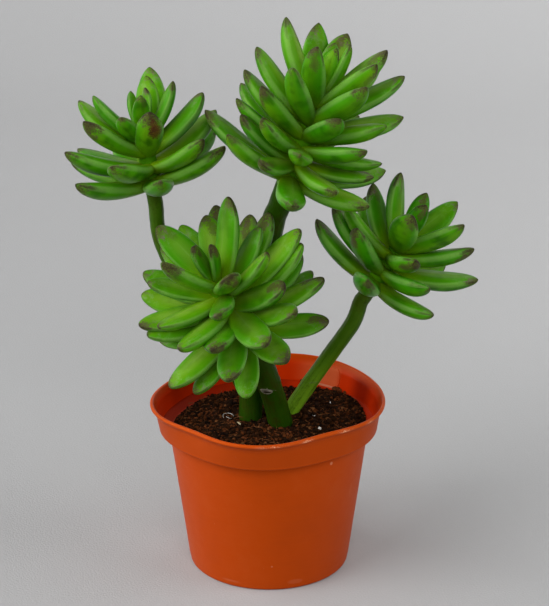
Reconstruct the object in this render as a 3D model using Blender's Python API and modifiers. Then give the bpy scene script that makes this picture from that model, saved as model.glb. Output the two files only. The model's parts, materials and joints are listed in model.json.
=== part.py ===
"""A potted echeveria: four heads of fleshy leaves on bare stems, in a nursery pot of peat.

Units are metres and +Z is up. The origin is the middle of the pot's underside, and -Y is the
front. Each piece is one closed object of its own, and pieces that touch keep a small gap.
"""

import math
import random
from dataclasses import dataclass

import bmesh
import bpy
from mathutils import Matrix, Vector

GAP = 0.0003
MERGE = 0.00001

# Pot: a tapered body under a stepped band with a flared, rounded lip
POT_HEIGHT = 0.0895
RIM_RADIUS = 0.0601
BASE_RADIUS = 0.0421
SHOULDER_RADIUS = 0.0513
SHOULDER_HEIGHT = 0.0735
BAND_LOW = (0.0562, 0.0756)
BAND_TOP = (0.0578, 0.0858)
WALL = 0.0014
LIP_RADIUS = 0.0010
BASE_ROUND = 0.0015
WALL_FOOT = 0.0060
WALL_LEVELS = 3
POT_SIDES = 36
PRESS_GROWTH = 5

# Pot floor: a disc and a standing ring on the ground, with a raised channel of holes between them
FLOOR = 0.0016
DISC_RADIUS = 0.0140
CHANNEL_RISE = 0.0025
CHANNEL_OUTER = 0.0350
RING_OUTER = BASE_RADIUS - BASE_ROUND
DRAIN_HOLES = 8
DRAIN_RADIUS = 0.0030
DRAIN_CIRCLE = 0.0250
DRAIN_SIDES = 10

# Soil: fills the body of the pot and reaches out over part of the ledge
SOIL_REACH = 0.55
SOIL_MIDDLE = 0.0750
SOIL_RINGS = 6
SOIL_LUMPS = 0.0009
SOIL_CLEARANCE = 0.0006

# Stems and heads
STEM_STEPS = 11
STEM_BEVEL = 3
HOLE_GAP = 0.0004
NECK = 0.0045
CORE_SIDES = 10
TURN_SPREAD = 13
LEAN_SPREAD = 10
LENGTH_SPREAD = 0.08
ROLL_SPREAD = 12
LEAF_SIDES = 6
LEAF_RINGS = 6
LEAF_WIDEST = 0.56
LEAF_ROOT = 0.50
LEAF_UPPER = 0.24
LEAF_FULL = 0.046
LEAF_TAPER = 0.9


@dataclass(frozen=True)
class Press:
    """A place where the soft pot is out of round: turn and spread in degrees, depth at the rim."""

    turn: float
    depth: float
    spread: float


@dataclass(frozen=True)
class Whorl:
    """One ring of leaves: turn of the first from the front and lean off the axis, in degrees.

    The length runs from the axis to the tip, the height is a share of the core, and the seed
    sets each leaf's small departure in turn, lean, length and roll.
    """

    count: int
    first: float
    lean: float
    length: float
    height: float
    seed: int


@dataclass(frozen=True)
class Shoot:
    """A stem, by its route up from the buried end, and the head that it carries.

    The head's axis runs from its foot to its crown, and a neck below the foot meets the stem.
    """

    name: str
    route: tuple
    foot: tuple
    low_radius: float
    top_radius: float
    crown: tuple
    core_radius: float
    leaf_width: float
    leaf_thickness: float
    leaf_bend: float
    whorls: tuple


PRESSES = (
    Press(-58, 0.0078, 26),
    Press(-133, 0.0046, 20),
    Press(-172, -0.0015, 24),
    Press(153, 0.0025, 18),
    Press(66, -0.0030, 27),
)

FRONT = Shoot(
    name="front",
    route=((0.0130, 0.0035, 0.0370), (0.0060, 0.0006, 0.0750), (0.0020, -0.0010, 0.0918),
           (-0.0035, -0.0030, 0.1100)),
    foot=(-0.0131, -0.0060, 0.1289),
    low_radius=0.0064,
    top_radius=0.0058,
    crown=(-0.0271, -0.0240, 0.1655),
    core_radius=0.0073,
    leaf_width=0.0158,
    leaf_thickness=0.0082,
    leaf_bend=14,
    whorls=(
        Whorl(6, 9, 91.5, 0.0450, 0.06, 31923),
        Whorl(8, 36, 83, 0.0485, 0.21, 1299822),
        Whorl(7, 42, 63, 0.0490, 0.36, 1818644),
        Whorl(8, 6, 70, 0.0510, 0.51, 244),
        Whorl(7, 11, 57.5, 0.0415, 0.67, 723284),
        Whorl(4, 37, 37, 0.0445, 0.82, 589894),
        Whorl(2, 84, 11, 0.0260, 0.97, 28450),
    ),
)

TOP = Shoot(
    name="top",
    route=((-0.0120, 0.0085, 0.0370), (-0.0097, 0.0093, 0.0750), (-0.0078, 0.0125, 0.1110),
           (-0.0045, 0.0152, 0.1490), (-0.0004, 0.0145, 0.1806), (0.0036, 0.0128, 0.1903)),
    foot=(0.0096, 0.0080, 0.2043),
    low_radius=0.0062,
    top_radius=0.0056,
    crown=(0.0263, 0.0050, 0.2520),
    core_radius=0.0072,
    leaf_width=0.0152,
    leaf_thickness=0.0080,
    leaf_bend=14,
    whorls=(
        Whorl(6, 6, 75, 0.0515, 0.06, 1400740),
        Whorl(7, 26, 72, 0.0415, 0.21, 1240199),
        Whorl(8, 39, 69, 0.0450, 0.36, 1135),
        Whorl(7, 5, 57, 0.0465, 0.51, 6912),
        Whorl(6, 24, 46, 0.0500, 0.67, 1168068),
        Whorl(5, 33, 36, 0.0440, 0.82, 73015),
        Whorl(3, 87, 5, 0.0270, 0.97, 1382473),
    ),
)

RIGHT = Shoot(
    name="right",
    route=((0.0000, 0.0157, 0.0410), (0.0108, 0.0132, 0.0720), (0.0190, 0.0145, 0.0870),
           (0.0322, 0.0161, 0.1080), (0.0429, 0.0168, 0.1243)),
    foot=(0.0519, 0.0170, 0.1437),
    low_radius=0.0042,
    top_radius=0.0040,
    crown=(0.0697, 0.0150, 0.1728),
    core_radius=0.0054,
    leaf_width=0.0165,
    leaf_thickness=0.0080,
    leaf_bend=22,
    whorls=(
        Whorl(5, 54, 67, 0.0430, 0.12, 14824),
        Whorl(6, 24, 68, 0.0460, 0.35, 1216780),
        Whorl(5, 8, 58.5, 0.0400, 0.60, 1999257),
        Whorl(4, 57, 40, 0.0405, 0.80, 1355333),
        Whorl(2, 169, 25, 0.0255, 0.97, 753636),
    ),
)

LEFT = Shoot(
    name="left",
    route=((-0.0040, 0.0260, 0.0370), (-0.0100, 0.0256, 0.0750), (-0.0265, 0.0250, 0.1110),
           (-0.0450, 0.0235, 0.1440), (-0.0555, 0.0220, 0.1690)),
    foot=(-0.0587, 0.0200, 0.1960),
    low_radius=0.0040,
    top_radius=0.0038,
    crown=(-0.0636, 0.0200, 0.2293),
    core_radius=0.0052,
    leaf_width=0.0161,
    leaf_thickness=0.0080,
    leaf_bend=22,
    whorls=(
        Whorl(6, 18, 75.5, 0.0480, 0.12, 23307),
        Whorl(6, 53, 70, 0.0475, 0.35, 1566264),
        Whorl(5, 28, 43, 0.0450, 0.60, 20736),
        Whorl(4, 86, 42, 0.0350, 0.80, 155448),
        Whorl(3, 2, 16, 0.0225, 0.97, 1033560),
    ),
)

SHOOTS = (FRONT, TOP, RIGHT, LEFT)


def clear_scene():
    """Empties the scene of the objects that Blender starts with."""
    for obj in list(bpy.data.objects):
        bpy.data.objects.remove(obj)


def new_collection(name, helper=False):
    """Adds a collection to the scene; a helper one is left out of renders."""
    made = bpy.data.collections.new(name)
    made.hide_render = helper
    bpy.context.scene.collection.children.link(made)
    return made


def new_material(name, colour, roughness):
    """A Principled BSDF material."""
    made = bpy.data.materials.new(name)
    made.use_nodes = True
    shader = made.node_tree.nodes["Principled BSDF"]
    shader.inputs["Base Color"].default_value = (*colour, 1)
    shader.inputs["Roughness"].default_value = roughness
    shader.inputs["Metallic"].default_value = 0
    made.diffuse_color = (*colour, 1)
    return made


def add_object(name, data, home, material=None):
    """Puts a mesh or a curve in a collection as a new object."""
    obj = bpy.data.objects.new(name, data)
    home.objects.link(obj)
    if material:
        data.materials.append(material)
    return obj


def mark_as_cutter(obj):
    """Shows an object as wires and keeps it out of renders."""
    obj.hide_render = True
    obj.display_type = "WIRE"


def smooth(obj, sharp_angle=40):
    """Shades a mesh smooth, with edges steeper than the angle kept sharp."""
    obj.data.shade_smooth()
    obj.data.set_sharp_from_angle(angle=math.radians(sharp_angle))


def bake(obj):
    """Replaces an object's mesh by the one that its modifiers make."""
    graph = bpy.context.evaluated_depsgraph_get()
    mesh = bpy.data.meshes.new_from_object(obj.evaluated_get(graph))
    raw = obj.data
    obj.modifiers.clear()
    obj.data = mesh
    bpy.data.meshes.remove(raw)


def turned(name, profile, sides, home, material=None):
    """A closed turned mesh from (radius, height) points that run down its outer side."""
    mesh = bpy.data.meshes.new(name)
    points = [(radius, 0, height) for radius, height in profile]
    edges = [(i, i + 1) for i in range(len(points) - 1)]
    mesh.from_pydata(points, edges, [])
    obj = add_object(name, mesh, home, material)
    screw = obj.modifiers.new("turn", "SCREW")
    screw.steps = sides
    screw.render_steps = sides
    screw.use_merge_vertices = True
    screw.merge_threshold = MERGE
    bpy.context.view_layer.update()
    bake(obj)
    return obj


def arc(centre, radius, start, stop, steps):
    """Points of an arc in the (radius, height) plane, between two angles in degrees."""
    angles = [math.radians(start + (stop - start) * i / steps) for i in range(steps + 1)]
    return [(centre[0] + radius * math.cos(a), centre[1] + radius * math.sin(a)) for a in angles]


def body_radius(height):
    """Outer radius of the pot's tapered wall below the band."""
    return BASE_RADIUS + (SHOULDER_RADIUS - BASE_RADIUS) * height / SHOULDER_HEIGHT


def wall_heights():
    """Heights of the rings of points up the pot's body, to the ledge under its band."""
    rise = SHOULDER_HEIGHT - WALL_FOOT
    return [WALL_FOOT + rise * i / WALL_LEVELS for i in range(WALL_LEVELS + 1)]


def ledge_point(share):
    """A (radius, height) point on the sloping ledge inside the pot, a share of the way out."""
    low = Vector((SHOULDER_RADIUS - WALL, SHOULDER_HEIGHT))
    high = Vector((BAND_LOW[0] - WALL, BAND_LOW[1] + WALL / 2))
    return low.lerp(high, share)


def pressed(point):
    """Moves a point of the pot or soil in or out where the pot is out of round, most at the rim."""
    turn = math.degrees(math.atan2(point.y, point.x))
    share = (point.z / POT_HEIGHT) ** PRESS_GROWTH * point.xy.length / RIM_RADIUS
    push = 0
    for press in PRESSES:
        off = (turn - press.turn + 180) % 360 - 180
        push += press.depth * math.exp(-((off / press.spread) ** 2))
    if point.xy.length < GAP:
        return point
    scale = 1 - push * share / point.xy.length
    return Vector((point.x * scale, point.y * scale, point.z))


def press_out_of_round(obj):
    """Gives a turned mesh the pot's slightly squeezed shape."""
    for vertex in obj.data.vertices:
        vertex.co = pressed(vertex.co)


def pot_profile():
    """The pot's section: floor, inner wall, lip, outer wall and underside."""
    slope = WALL + CHANNEL_RISE
    inside = [
        (0, FLOOR),
        (DISC_RADIUS, FLOOR),
        (DISC_RADIUS + slope, FLOOR + CHANNEL_RISE),
        (CHANNEL_OUTER - slope, FLOOR + CHANNEL_RISE),
        (CHANNEL_OUTER, FLOOR),
        (body_radius(FLOOR) - WALL - FLOOR, FLOOR),
    ]
    heights = wall_heights()
    inner_wall = [(body_radius(z) - WALL, z) for z in heights]
    inner_band = [tuple(ledge_point(1)), (BAND_TOP[0] - WALL, BAND_TOP[1])]
    lip_centre = (RIM_RADIUS - LIP_RADIUS, POT_HEIGHT - LIP_RADIUS)
    lip = arc(lip_centre, LIP_RADIUS, 165, -45, 4)
    outer_band = [BAND_TOP, BAND_LOW, (SHOULDER_RADIUS, SHOULDER_HEIGHT)]
    outer_wall = [(body_radius(z), z) for z in reversed(heights[:-1])]
    foot = arc((RING_OUTER, BASE_ROUND), BASE_ROUND, 0, -90, 2)
    underside = [
        (CHANNEL_OUTER, 0),
        (CHANNEL_OUTER - slope, CHANNEL_RISE),
        (DISC_RADIUS + slope, CHANNEL_RISE),
        (DISC_RADIUS, 0),
        (0, 0),
    ]
    return inside + inner_wall + inner_band + lip + outer_band + outer_wall + foot + underside


def build_pot(home, cutters, material):
    """The pot, with its ring of drainage holes cut through the raised channel."""
    pot = turned("pot", pot_profile(), POT_SIDES, home, material)
    press_out_of_round(pot)
    for number in range(DRAIN_HOLES):
        turn = math.tau * number / DRAIN_HOLES
        place = (DRAIN_CIRCLE * math.cos(turn), DRAIN_CIRCLE * math.sin(turn), CHANNEL_RISE)
        bm = bmesh.new()
        bmesh.ops.create_cone(
            bm,
            cap_ends=True,
            segments=DRAIN_SIDES,
            radius1=DRAIN_RADIUS,
            radius2=DRAIN_RADIUS,
            depth=3 * FLOOR,
            matrix=Matrix.Translation((0, 0, FLOOR / 2)),
        )
        mesh = bpy.data.meshes.new("drain")
        bm.to_mesh(mesh)
        bm.free()
        hole = add_object(f"drain_{number}", mesh, cutters)
        hole.location = place
        mark_as_cutter(hole)
    cut = pot.modifiers.new("drains", "BOOLEAN")
    cut.operand_type = "COLLECTION"
    cut.collection = cutters
    cut.solver = "EXACT"
    smooth(pot)
    return pot


def soil_edge():
    """The (radius, height) of the soil's edge, just clear of the ledge that it lies on."""
    radius, height = ledge_point(SOIL_REACH)
    return radius - SOIL_CLEARANCE, height + SOIL_CLEARANCE / 2


def soil_lump(x, y):
    """Unevenness of the soil's surface at a place."""
    waves = (
        math.sin(310 * x + 1.1) * math.cos(260 * y)
        + 0.6 * math.sin(520 * y + 2.3) * math.cos(430 * x + 0.7)
        + 0.4 * math.sin(780 * (x + y))
    )
    return SOIL_LUMPS * waves


def soil_profile():
    """The soil's section: the top, in over the ledge, down the wall and under the bottom."""
    radius, height = soil_edge()
    bottom = FLOOR + CHANNEL_RISE + GAP
    top = []
    for ring in range(SOIL_RINGS + 1):
        share = ring / SOIL_RINGS
        top.append((radius * share, height + (SOIL_MIDDLE - height) * (1 - share**3)))
    wall = [(body_radius(z) - WALL - SOIL_CLEARANCE, z) for z in reversed(wall_heights())]
    return top + wall + [(wall[-1][0] - bottom, bottom), (0, bottom)]


def build_soil(home, cutters, material):
    """The body of soil, lumpy on top, with a hole for each stem's cutter."""
    soil = turned("soil", soil_profile(), POT_SIDES, home, material)
    for vertex in soil.data.vertices:
        inwards = 1 - vertex.co.xy.length / soil_edge()[0]
        if vertex.co.z > SHOULDER_HEIGHT + GAP:
            vertex.co.z += soil_lump(vertex.co.x, vertex.co.y) * min(1, 4 * inwards)
    press_out_of_round(soil)
    cut = soil.modifiers.new("stem_holes", "BOOLEAN")
    cut.operand_type = "COLLECTION"
    cut.collection = cutters
    cut.solver = "EXACT"
    smooth(soil)
    return soil


def smooth_route(points, steps):
    """Evenly numbered points on a smooth curve through a route's own points."""
    points = [Vector(p) for p in points]
    first = points[0] * 2 - points[1]
    last = points[-1] * 2 - points[-2]
    ends = [first, *points, last]
    made = []
    for step in range(steps + 1):
        place = (len(points) - 1) * step / steps
        leg = min(int(place), len(points) - 2)
        t = place - leg
        a, b, c, d = ends[leg : leg + 4]
        made.append(0.5 * (2 * b + (c - a) * t + (2 * a - 5 * b + 4 * c - d) * t**2
                           + (3 * b - a - 3 * c + d) * t**3))
    return made


def head_axis(shoot):
    """Unit vector from a head's foot to its crown."""
    return (Vector(shoot.crown) - Vector(shoot.foot)).normalized()


def neck_end(shoot):
    """Where the neck below a head ends."""
    return Vector(shoot.foot) - head_axis(shoot) * NECK


def stem_tube(name, shoot, home, extra=0):
    """A tapered tube along a shoot's route as a mesh, thickened and sunk deeper by an extra."""
    top = neck_end(shoot) - head_axis(shoot) * GAP
    points = smooth_route([*shoot.route, top - head_axis(shoot) * NECK], STEM_STEPS - 1) + [top]
    points[0] += (points[0] - points[1]).normalized() * extra
    curve = bpy.data.curves.new(name, "CURVE")
    curve.dimensions = "3D"
    curve.bevel_depth = shoot.low_radius + extra
    curve.bevel_resolution = STEM_BEVEL
    curve.use_fill_caps = True
    spline = curve.splines.new("POLY")
    spline.points.add(len(points) - 1)
    for number, point in enumerate(points):
        share = number / STEM_STEPS
        radius = shoot.low_radius + (shoot.top_radius - shoot.low_radius) * share
        spline.points[number].co = (*point, 1)
        spline.points[number].radius = (radius + extra) / (shoot.low_radius + extra)
    tube = add_object(name + "_route", curve, home)
    bpy.context.view_layer.update()
    graph = bpy.context.evaluated_depsgraph_get()
    mesh = bpy.data.meshes.new_from_object(tube.evaluated_get(graph))
    bpy.data.objects.remove(tube)
    bm = bmesh.new()
    bm.from_mesh(mesh)
    bmesh.ops.remove_doubles(bm, verts=bm.verts, dist=MERGE)
    bm.to_mesh(mesh)
    bm.free()
    mesh.materials.clear()
    return add_object(name, mesh, home)


def build_stem(shoot, home, cutters, material):
    """A bare stem, and the cutter of the hole that it stands in."""
    stem = stem_tube(f"stem_{shoot.name}", shoot, home)
    stem.data.materials.append(material)
    smooth(stem)
    hole = stem_tube(f"hole_{shoot.name}", shoot, cutters, extra=HOLE_GAP)
    mark_as_cutter(hole)
    return stem


def leaf_outline(along):
    """Share of a leaf's full width at a place from 0 at its root to 1 at its tip."""
    swell = math.sin(0.5 * math.pi * min(along / LEAF_WIDEST, 1))
    point = max(0, (along - LEAF_WIDEST) / (1 - LEAF_WIDEST))
    return (LEAF_ROOT + (1 - LEAF_ROOT) * swell) * (1 - point**2.4) ** 0.75


def leaf_point(across, up, along, length, shoot):
    """A leaf's surface point in its own frame: X across, Y to the upper face, Z along the chord.

    The across and up values are a point of the unit circle, or zero at the root and the tip.
    A leaf shorter than a full-grown one is narrower and thinner too.
    """
    half_bend = math.radians(shoot.leaf_bend) / 2
    angle = (2 * along - 1) * half_bend
    reach = length / (2 * math.sin(half_bend))
    outline = leaf_outline(along)
    girth = min(1, length / LEAF_FULL) ** LEAF_TAPER
    face = LEAF_UPPER if up > 0 else 1 - LEAF_UPPER
    rise = up * face * girth * shoot.leaf_thickness * outline**0.8
    return Vector((
        across * 0.5 * girth * shoot.leaf_width * outline,
        reach * (math.cos(half_bend) - math.cos(angle)) + rise * math.cos(angle),
        reach * (math.sin(angle) + math.sin(half_bend)) - rise * math.sin(angle),
    ))


def leaf_frame(turn, lean, roll):
    """Rotation that takes a leaf's own frame to its head's, where the front is -Y."""
    along = Vector((
        math.sin(lean) * math.sin(turn),
        -math.sin(lean) * math.cos(turn),
        math.cos(lean),
    ))
    upper = Vector((
        -math.cos(lean) * math.sin(turn),
        math.cos(lean) * math.cos(turn),
        math.sin(lean),
    ))
    upper.rotate(Matrix.Rotation(roll, 3, along))
    across = upper.cross(along)
    return Matrix((across, upper, along)).transposed()


def build_leaf(shoot, home, place, turn, lean, length, roll):
    """One fleshy leaf whose chord points from a place on the head's axis."""
    start = shoot.core_radius * 0.5 * (math.sin(lean) - math.cos(lean))
    bm = bmesh.new()
    quarter = Matrix.Rotation(math.radians(90), 4, "Z")
    bmesh.ops.create_uvsphere(
        bm, u_segments=LEAF_SIDES, v_segments=LEAF_RINGS, radius=1, matrix=quarter
    )
    frame = leaf_frame(turn, lean, roll)
    for vertex in bm.verts:
        girth = vertex.co.xy.length
        across, up = vertex.co.xy / girth if girth > MERGE else (0, 0)
        along = min(max(0.5 + 0.5 * vertex.co.z, 0), 1)
        point = leaf_point(across, up, along, length - start, shoot)
        vertex.co = place + frame @ (point + Vector((0, 0, start)))
    mesh = bpy.data.meshes.new("leaf")
    bm.to_mesh(mesh)
    bm.free()
    return add_object("leaf", mesh, home)


def build_whorl(shoot, whorl, core_length, home):
    """The leaves of one ring, evenly turned with a small seeded spread."""
    draw = random.Random(whorl.seed)
    place = Vector((0, 0, core_length * whorl.height))
    for number in range(whorl.count):
        turn = whorl.first + 360 * number / whorl.count + TURN_SPREAD * draw.uniform(-1, 1)
        lean = whorl.lean + LEAN_SPREAD * draw.uniform(-1, 1)
        length = whorl.length * (1 + LENGTH_SPREAD * draw.uniform(-1, 1))
        roll = ROLL_SPREAD * draw.uniform(-1, 1)
        build_leaf(
            shoot, home, place, math.radians(turn), math.radians(lean), length, math.radians(roll)
        )


def fuse(obj, others):
    """Joins a collection's objects to one object by a single union, then removes them."""
    join = obj.modifiers.new("join", "BOOLEAN")
    join.operation = "UNION"
    join.operand_type = "COLLECTION"
    join.collection = others
    join.solver = "EXACT"
    bpy.context.view_layer.update()
    bake(obj)
    for piece in list(others.objects):
        bpy.data.objects.remove(piece)
    bpy.data.collections.remove(others)


def body_of(face):
    """All the faces that are joined to a face through edges."""
    found = {face}
    edge = [face]
    while edge:
        around = {near for side in edge.pop().edges for near in side.link_faces} - found
        found |= around
        edge.extend(around)
    return found


def keep_largest_body(obj):
    """Drops sealed hollows and scraps that a union can leave, and closes up tiny faces."""
    bm = bmesh.new()
    bm.from_mesh(obj.data)
    bmesh.ops.remove_doubles(bm, verts=bm.verts, dist=MERGE)
    bmesh.ops.dissolve_degenerate(bm, edges=bm.edges, dist=MERGE)
    unseen = set(bm.faces)
    bodies = []
    while unseen:
        bodies.append(body_of(next(iter(unseen))))
        unseen -= bodies[-1]
    bodies.sort(key=len)
    for body in bodies[:-1]:
        bmesh.ops.delete(bm, geom=list(body), context="FACES")
    bm.to_mesh(obj.data)
    bm.free()


def build_head(shoot, home, material):
    """A head: whorls of leaves fused to a slim core, standing on its stem."""
    core_length = (Vector(shoot.crown) - Vector(shoot.foot)).length
    profile = [
        (0, core_length),
        (0.45 * shoot.core_radius, core_length),
        (0.75 * shoot.core_radius, 0.8 * core_length),
        (shoot.core_radius, 0.3 * core_length),
        (shoot.top_radius, -NECK),
        (0, -NECK),
    ]
    head = turned(f"head_{shoot.name}", profile, CORE_SIDES, home, material)
    leaves = new_collection("leaves", helper=True)
    for whorl in shoot.whorls:
        build_whorl(shoot, whorl, core_length, leaves)
    fuse(head, leaves)
    keep_largest_body(head)
    axis = head_axis(shoot)
    front = Vector((0, -1, 0))
    front = (front - axis * front.dot(axis)).normalized()
    side = axis.cross(front)
    head.matrix_world = (
        Matrix.Translation(shoot.foot) @ Matrix((side, -front, axis)).transposed().to_4x4()
    )
    smooth(head, sharp_angle=60)
    return head


def main():
    """Builds the plant in its pot."""
    clear_scene()
    home = new_collection("potted_echeveria")
    drains = new_collection("drain_cutters", helper=True)
    stem_holes = new_collection("stem_hole_cutters", helper=True)
    terracotta = new_material("pot_plastic", (0.52, 0.075, 0.010), 0.45)
    peat = new_material("peat", (0.032, 0.014, 0.007), 0.95)
    bark = new_material("stem_skin", (0.030, 0.085, 0.006), 0.45)
    flesh = new_material("leaf_flesh", (0.095, 0.275, 0.024), 0.40)
    pieces = [build_pot(home, drains, terracotta)]
    for shoot in SHOOTS:
        pieces.append(build_stem(shoot, home, stem_holes, bark))
        pieces.append(build_head(shoot, home, flesh))
    pieces.append(build_soil(home, stem_holes, peat))
    plant = add_object("echeveria_base", None, home)
    for piece in pieces:
        piece.parent = plant


main()
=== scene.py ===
"""Looks of a potted echeveria: fleshy leaves, bare stems, peat and an orange nursery pot.

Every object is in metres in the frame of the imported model: the origin is the middle of the pot's
underside, +Z is up and -Y is the front. Each sub-assembly is a class that models its pieces and
dresses them, and each finish is a frozen dataclass that builds its material.
"""

import json
import logging
import math
import random
from dataclasses import dataclass, field
from enum import Enum
from typing import Any, Iterable, Sequence

import bmesh
import bpy
import numpy as np
from mathutils import Matrix, Vector, noise

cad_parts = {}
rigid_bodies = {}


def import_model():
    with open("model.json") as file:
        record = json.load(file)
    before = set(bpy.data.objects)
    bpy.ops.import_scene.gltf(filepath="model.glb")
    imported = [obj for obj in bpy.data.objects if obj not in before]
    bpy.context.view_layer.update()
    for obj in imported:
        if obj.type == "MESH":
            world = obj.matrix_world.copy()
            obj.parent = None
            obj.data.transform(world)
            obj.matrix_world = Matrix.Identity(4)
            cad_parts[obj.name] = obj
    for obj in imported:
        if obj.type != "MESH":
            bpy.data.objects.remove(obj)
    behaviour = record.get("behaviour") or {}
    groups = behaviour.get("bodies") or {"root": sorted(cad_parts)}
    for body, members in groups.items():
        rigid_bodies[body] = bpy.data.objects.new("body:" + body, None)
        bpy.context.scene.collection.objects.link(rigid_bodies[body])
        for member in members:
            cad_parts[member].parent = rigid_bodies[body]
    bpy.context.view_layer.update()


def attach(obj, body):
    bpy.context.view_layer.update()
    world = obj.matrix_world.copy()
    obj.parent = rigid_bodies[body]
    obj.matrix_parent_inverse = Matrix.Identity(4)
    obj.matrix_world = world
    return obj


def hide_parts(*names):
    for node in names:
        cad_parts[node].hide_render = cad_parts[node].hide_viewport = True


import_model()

LOG = logging.getLogger("echeveria")
BODY = "root"
Colour = tuple[float, float, float]
Point = tuple[float, float, float]
Pair = tuple[float, float]
Triple = tuple[float, float, float]
Values = np.ndarray | float


class Slot(Enum):
    """The record's material slots."""

    POT = "pot_plastic"
    PEAT = "peat"
    STEM = "stem_skin"
    LEAF = "leaf_flesh"


class Attribute(Enum):
    """The attributes that the materials read from a mesh."""

    BLADE = "blade"
    MARKS = "marks"
    SCAR = "scar"


# Shader building


class Signal:
    """A shader value that Python's operators combine through Math nodes."""

    def __init__(self, shop: "Shader", socket: bpy.types.NodeSocket) -> None:
        """Wraps a node's output socket.

        Args:
            shop: The shader that the socket belongs to.
            socket: The output socket.
        """
        self.shop = shop
        self.socket = socket

    def math(self, operation: str, *others: "Signal | float", swap: bool = False) -> "Signal":
        """Adds one Math node.

        Args:
            operation: The Math node's operation.
            others: The further values that it takes.
            swap: True where this value is the second one.

        Returns:
            The node's result.
        """
        values = [self, *others]
        if swap:
            values[0], values[1] = values[1], values[0]
        return self.shop.node("ShaderNodeMath", {"operation": operation}, dict(enumerate(values)))

    def __add__(self, other: "Signal | float") -> "Signal":
        """Sum."""
        return self.math("ADD", other)

    __radd__ = __add__

    def __sub__(self, other: "Signal | float") -> "Signal":
        """Difference."""
        return self.math("SUBTRACT", other)

    def __rsub__(self, other: float) -> "Signal":
        """Difference from a number."""
        return self.math("SUBTRACT", other, swap=True)

    def __mul__(self, other: "Signal | float") -> "Signal":
        """Product."""
        return self.math("MULTIPLY", other)

    __rmul__ = __mul__

    def __truediv__(self, other: "Signal | float") -> "Signal":
        """Quotient."""
        return self.math("DIVIDE", other)

    def __abs__(self) -> "Signal":
        """Size without sign."""
        return self.math("ABSOLUTE")

    def most(self, other: "Signal | float") -> "Signal":
        """The larger of two values."""
        return self.math("MAXIMUM", other)

    def sine(self) -> "Signal":
        """Sine of a value in radians."""
        return self.math("SINE")

    def cosine(self) -> "Signal":
        """Cosine of a value in radians."""
        return self.math("COSINE")

    def step(self, low: float, high: float) -> "Signal":
        """Smooth step from 0 at one value to 1 at another, which may be the lower one.

        Args:
            low: The value that gives 0.
            high: The value that gives 1.

        Returns:
            The step.
        """
        if low > high:
            return 1 - self.step(high, low)
        return self.shop.node(
            "ShaderNodeMapRange",
            {"interpolation_type": "SMOOTHSTEP"},
            {"Value": self, "From Min": low, "From Max": high},
        )

    def window(self, rise: Pair, fall: Pair) -> "Signal":
        """Product of two smooth steps, each given by the values where it is 0 and 1."""
        return self.step(*rise) * self.step(*fall)


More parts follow.
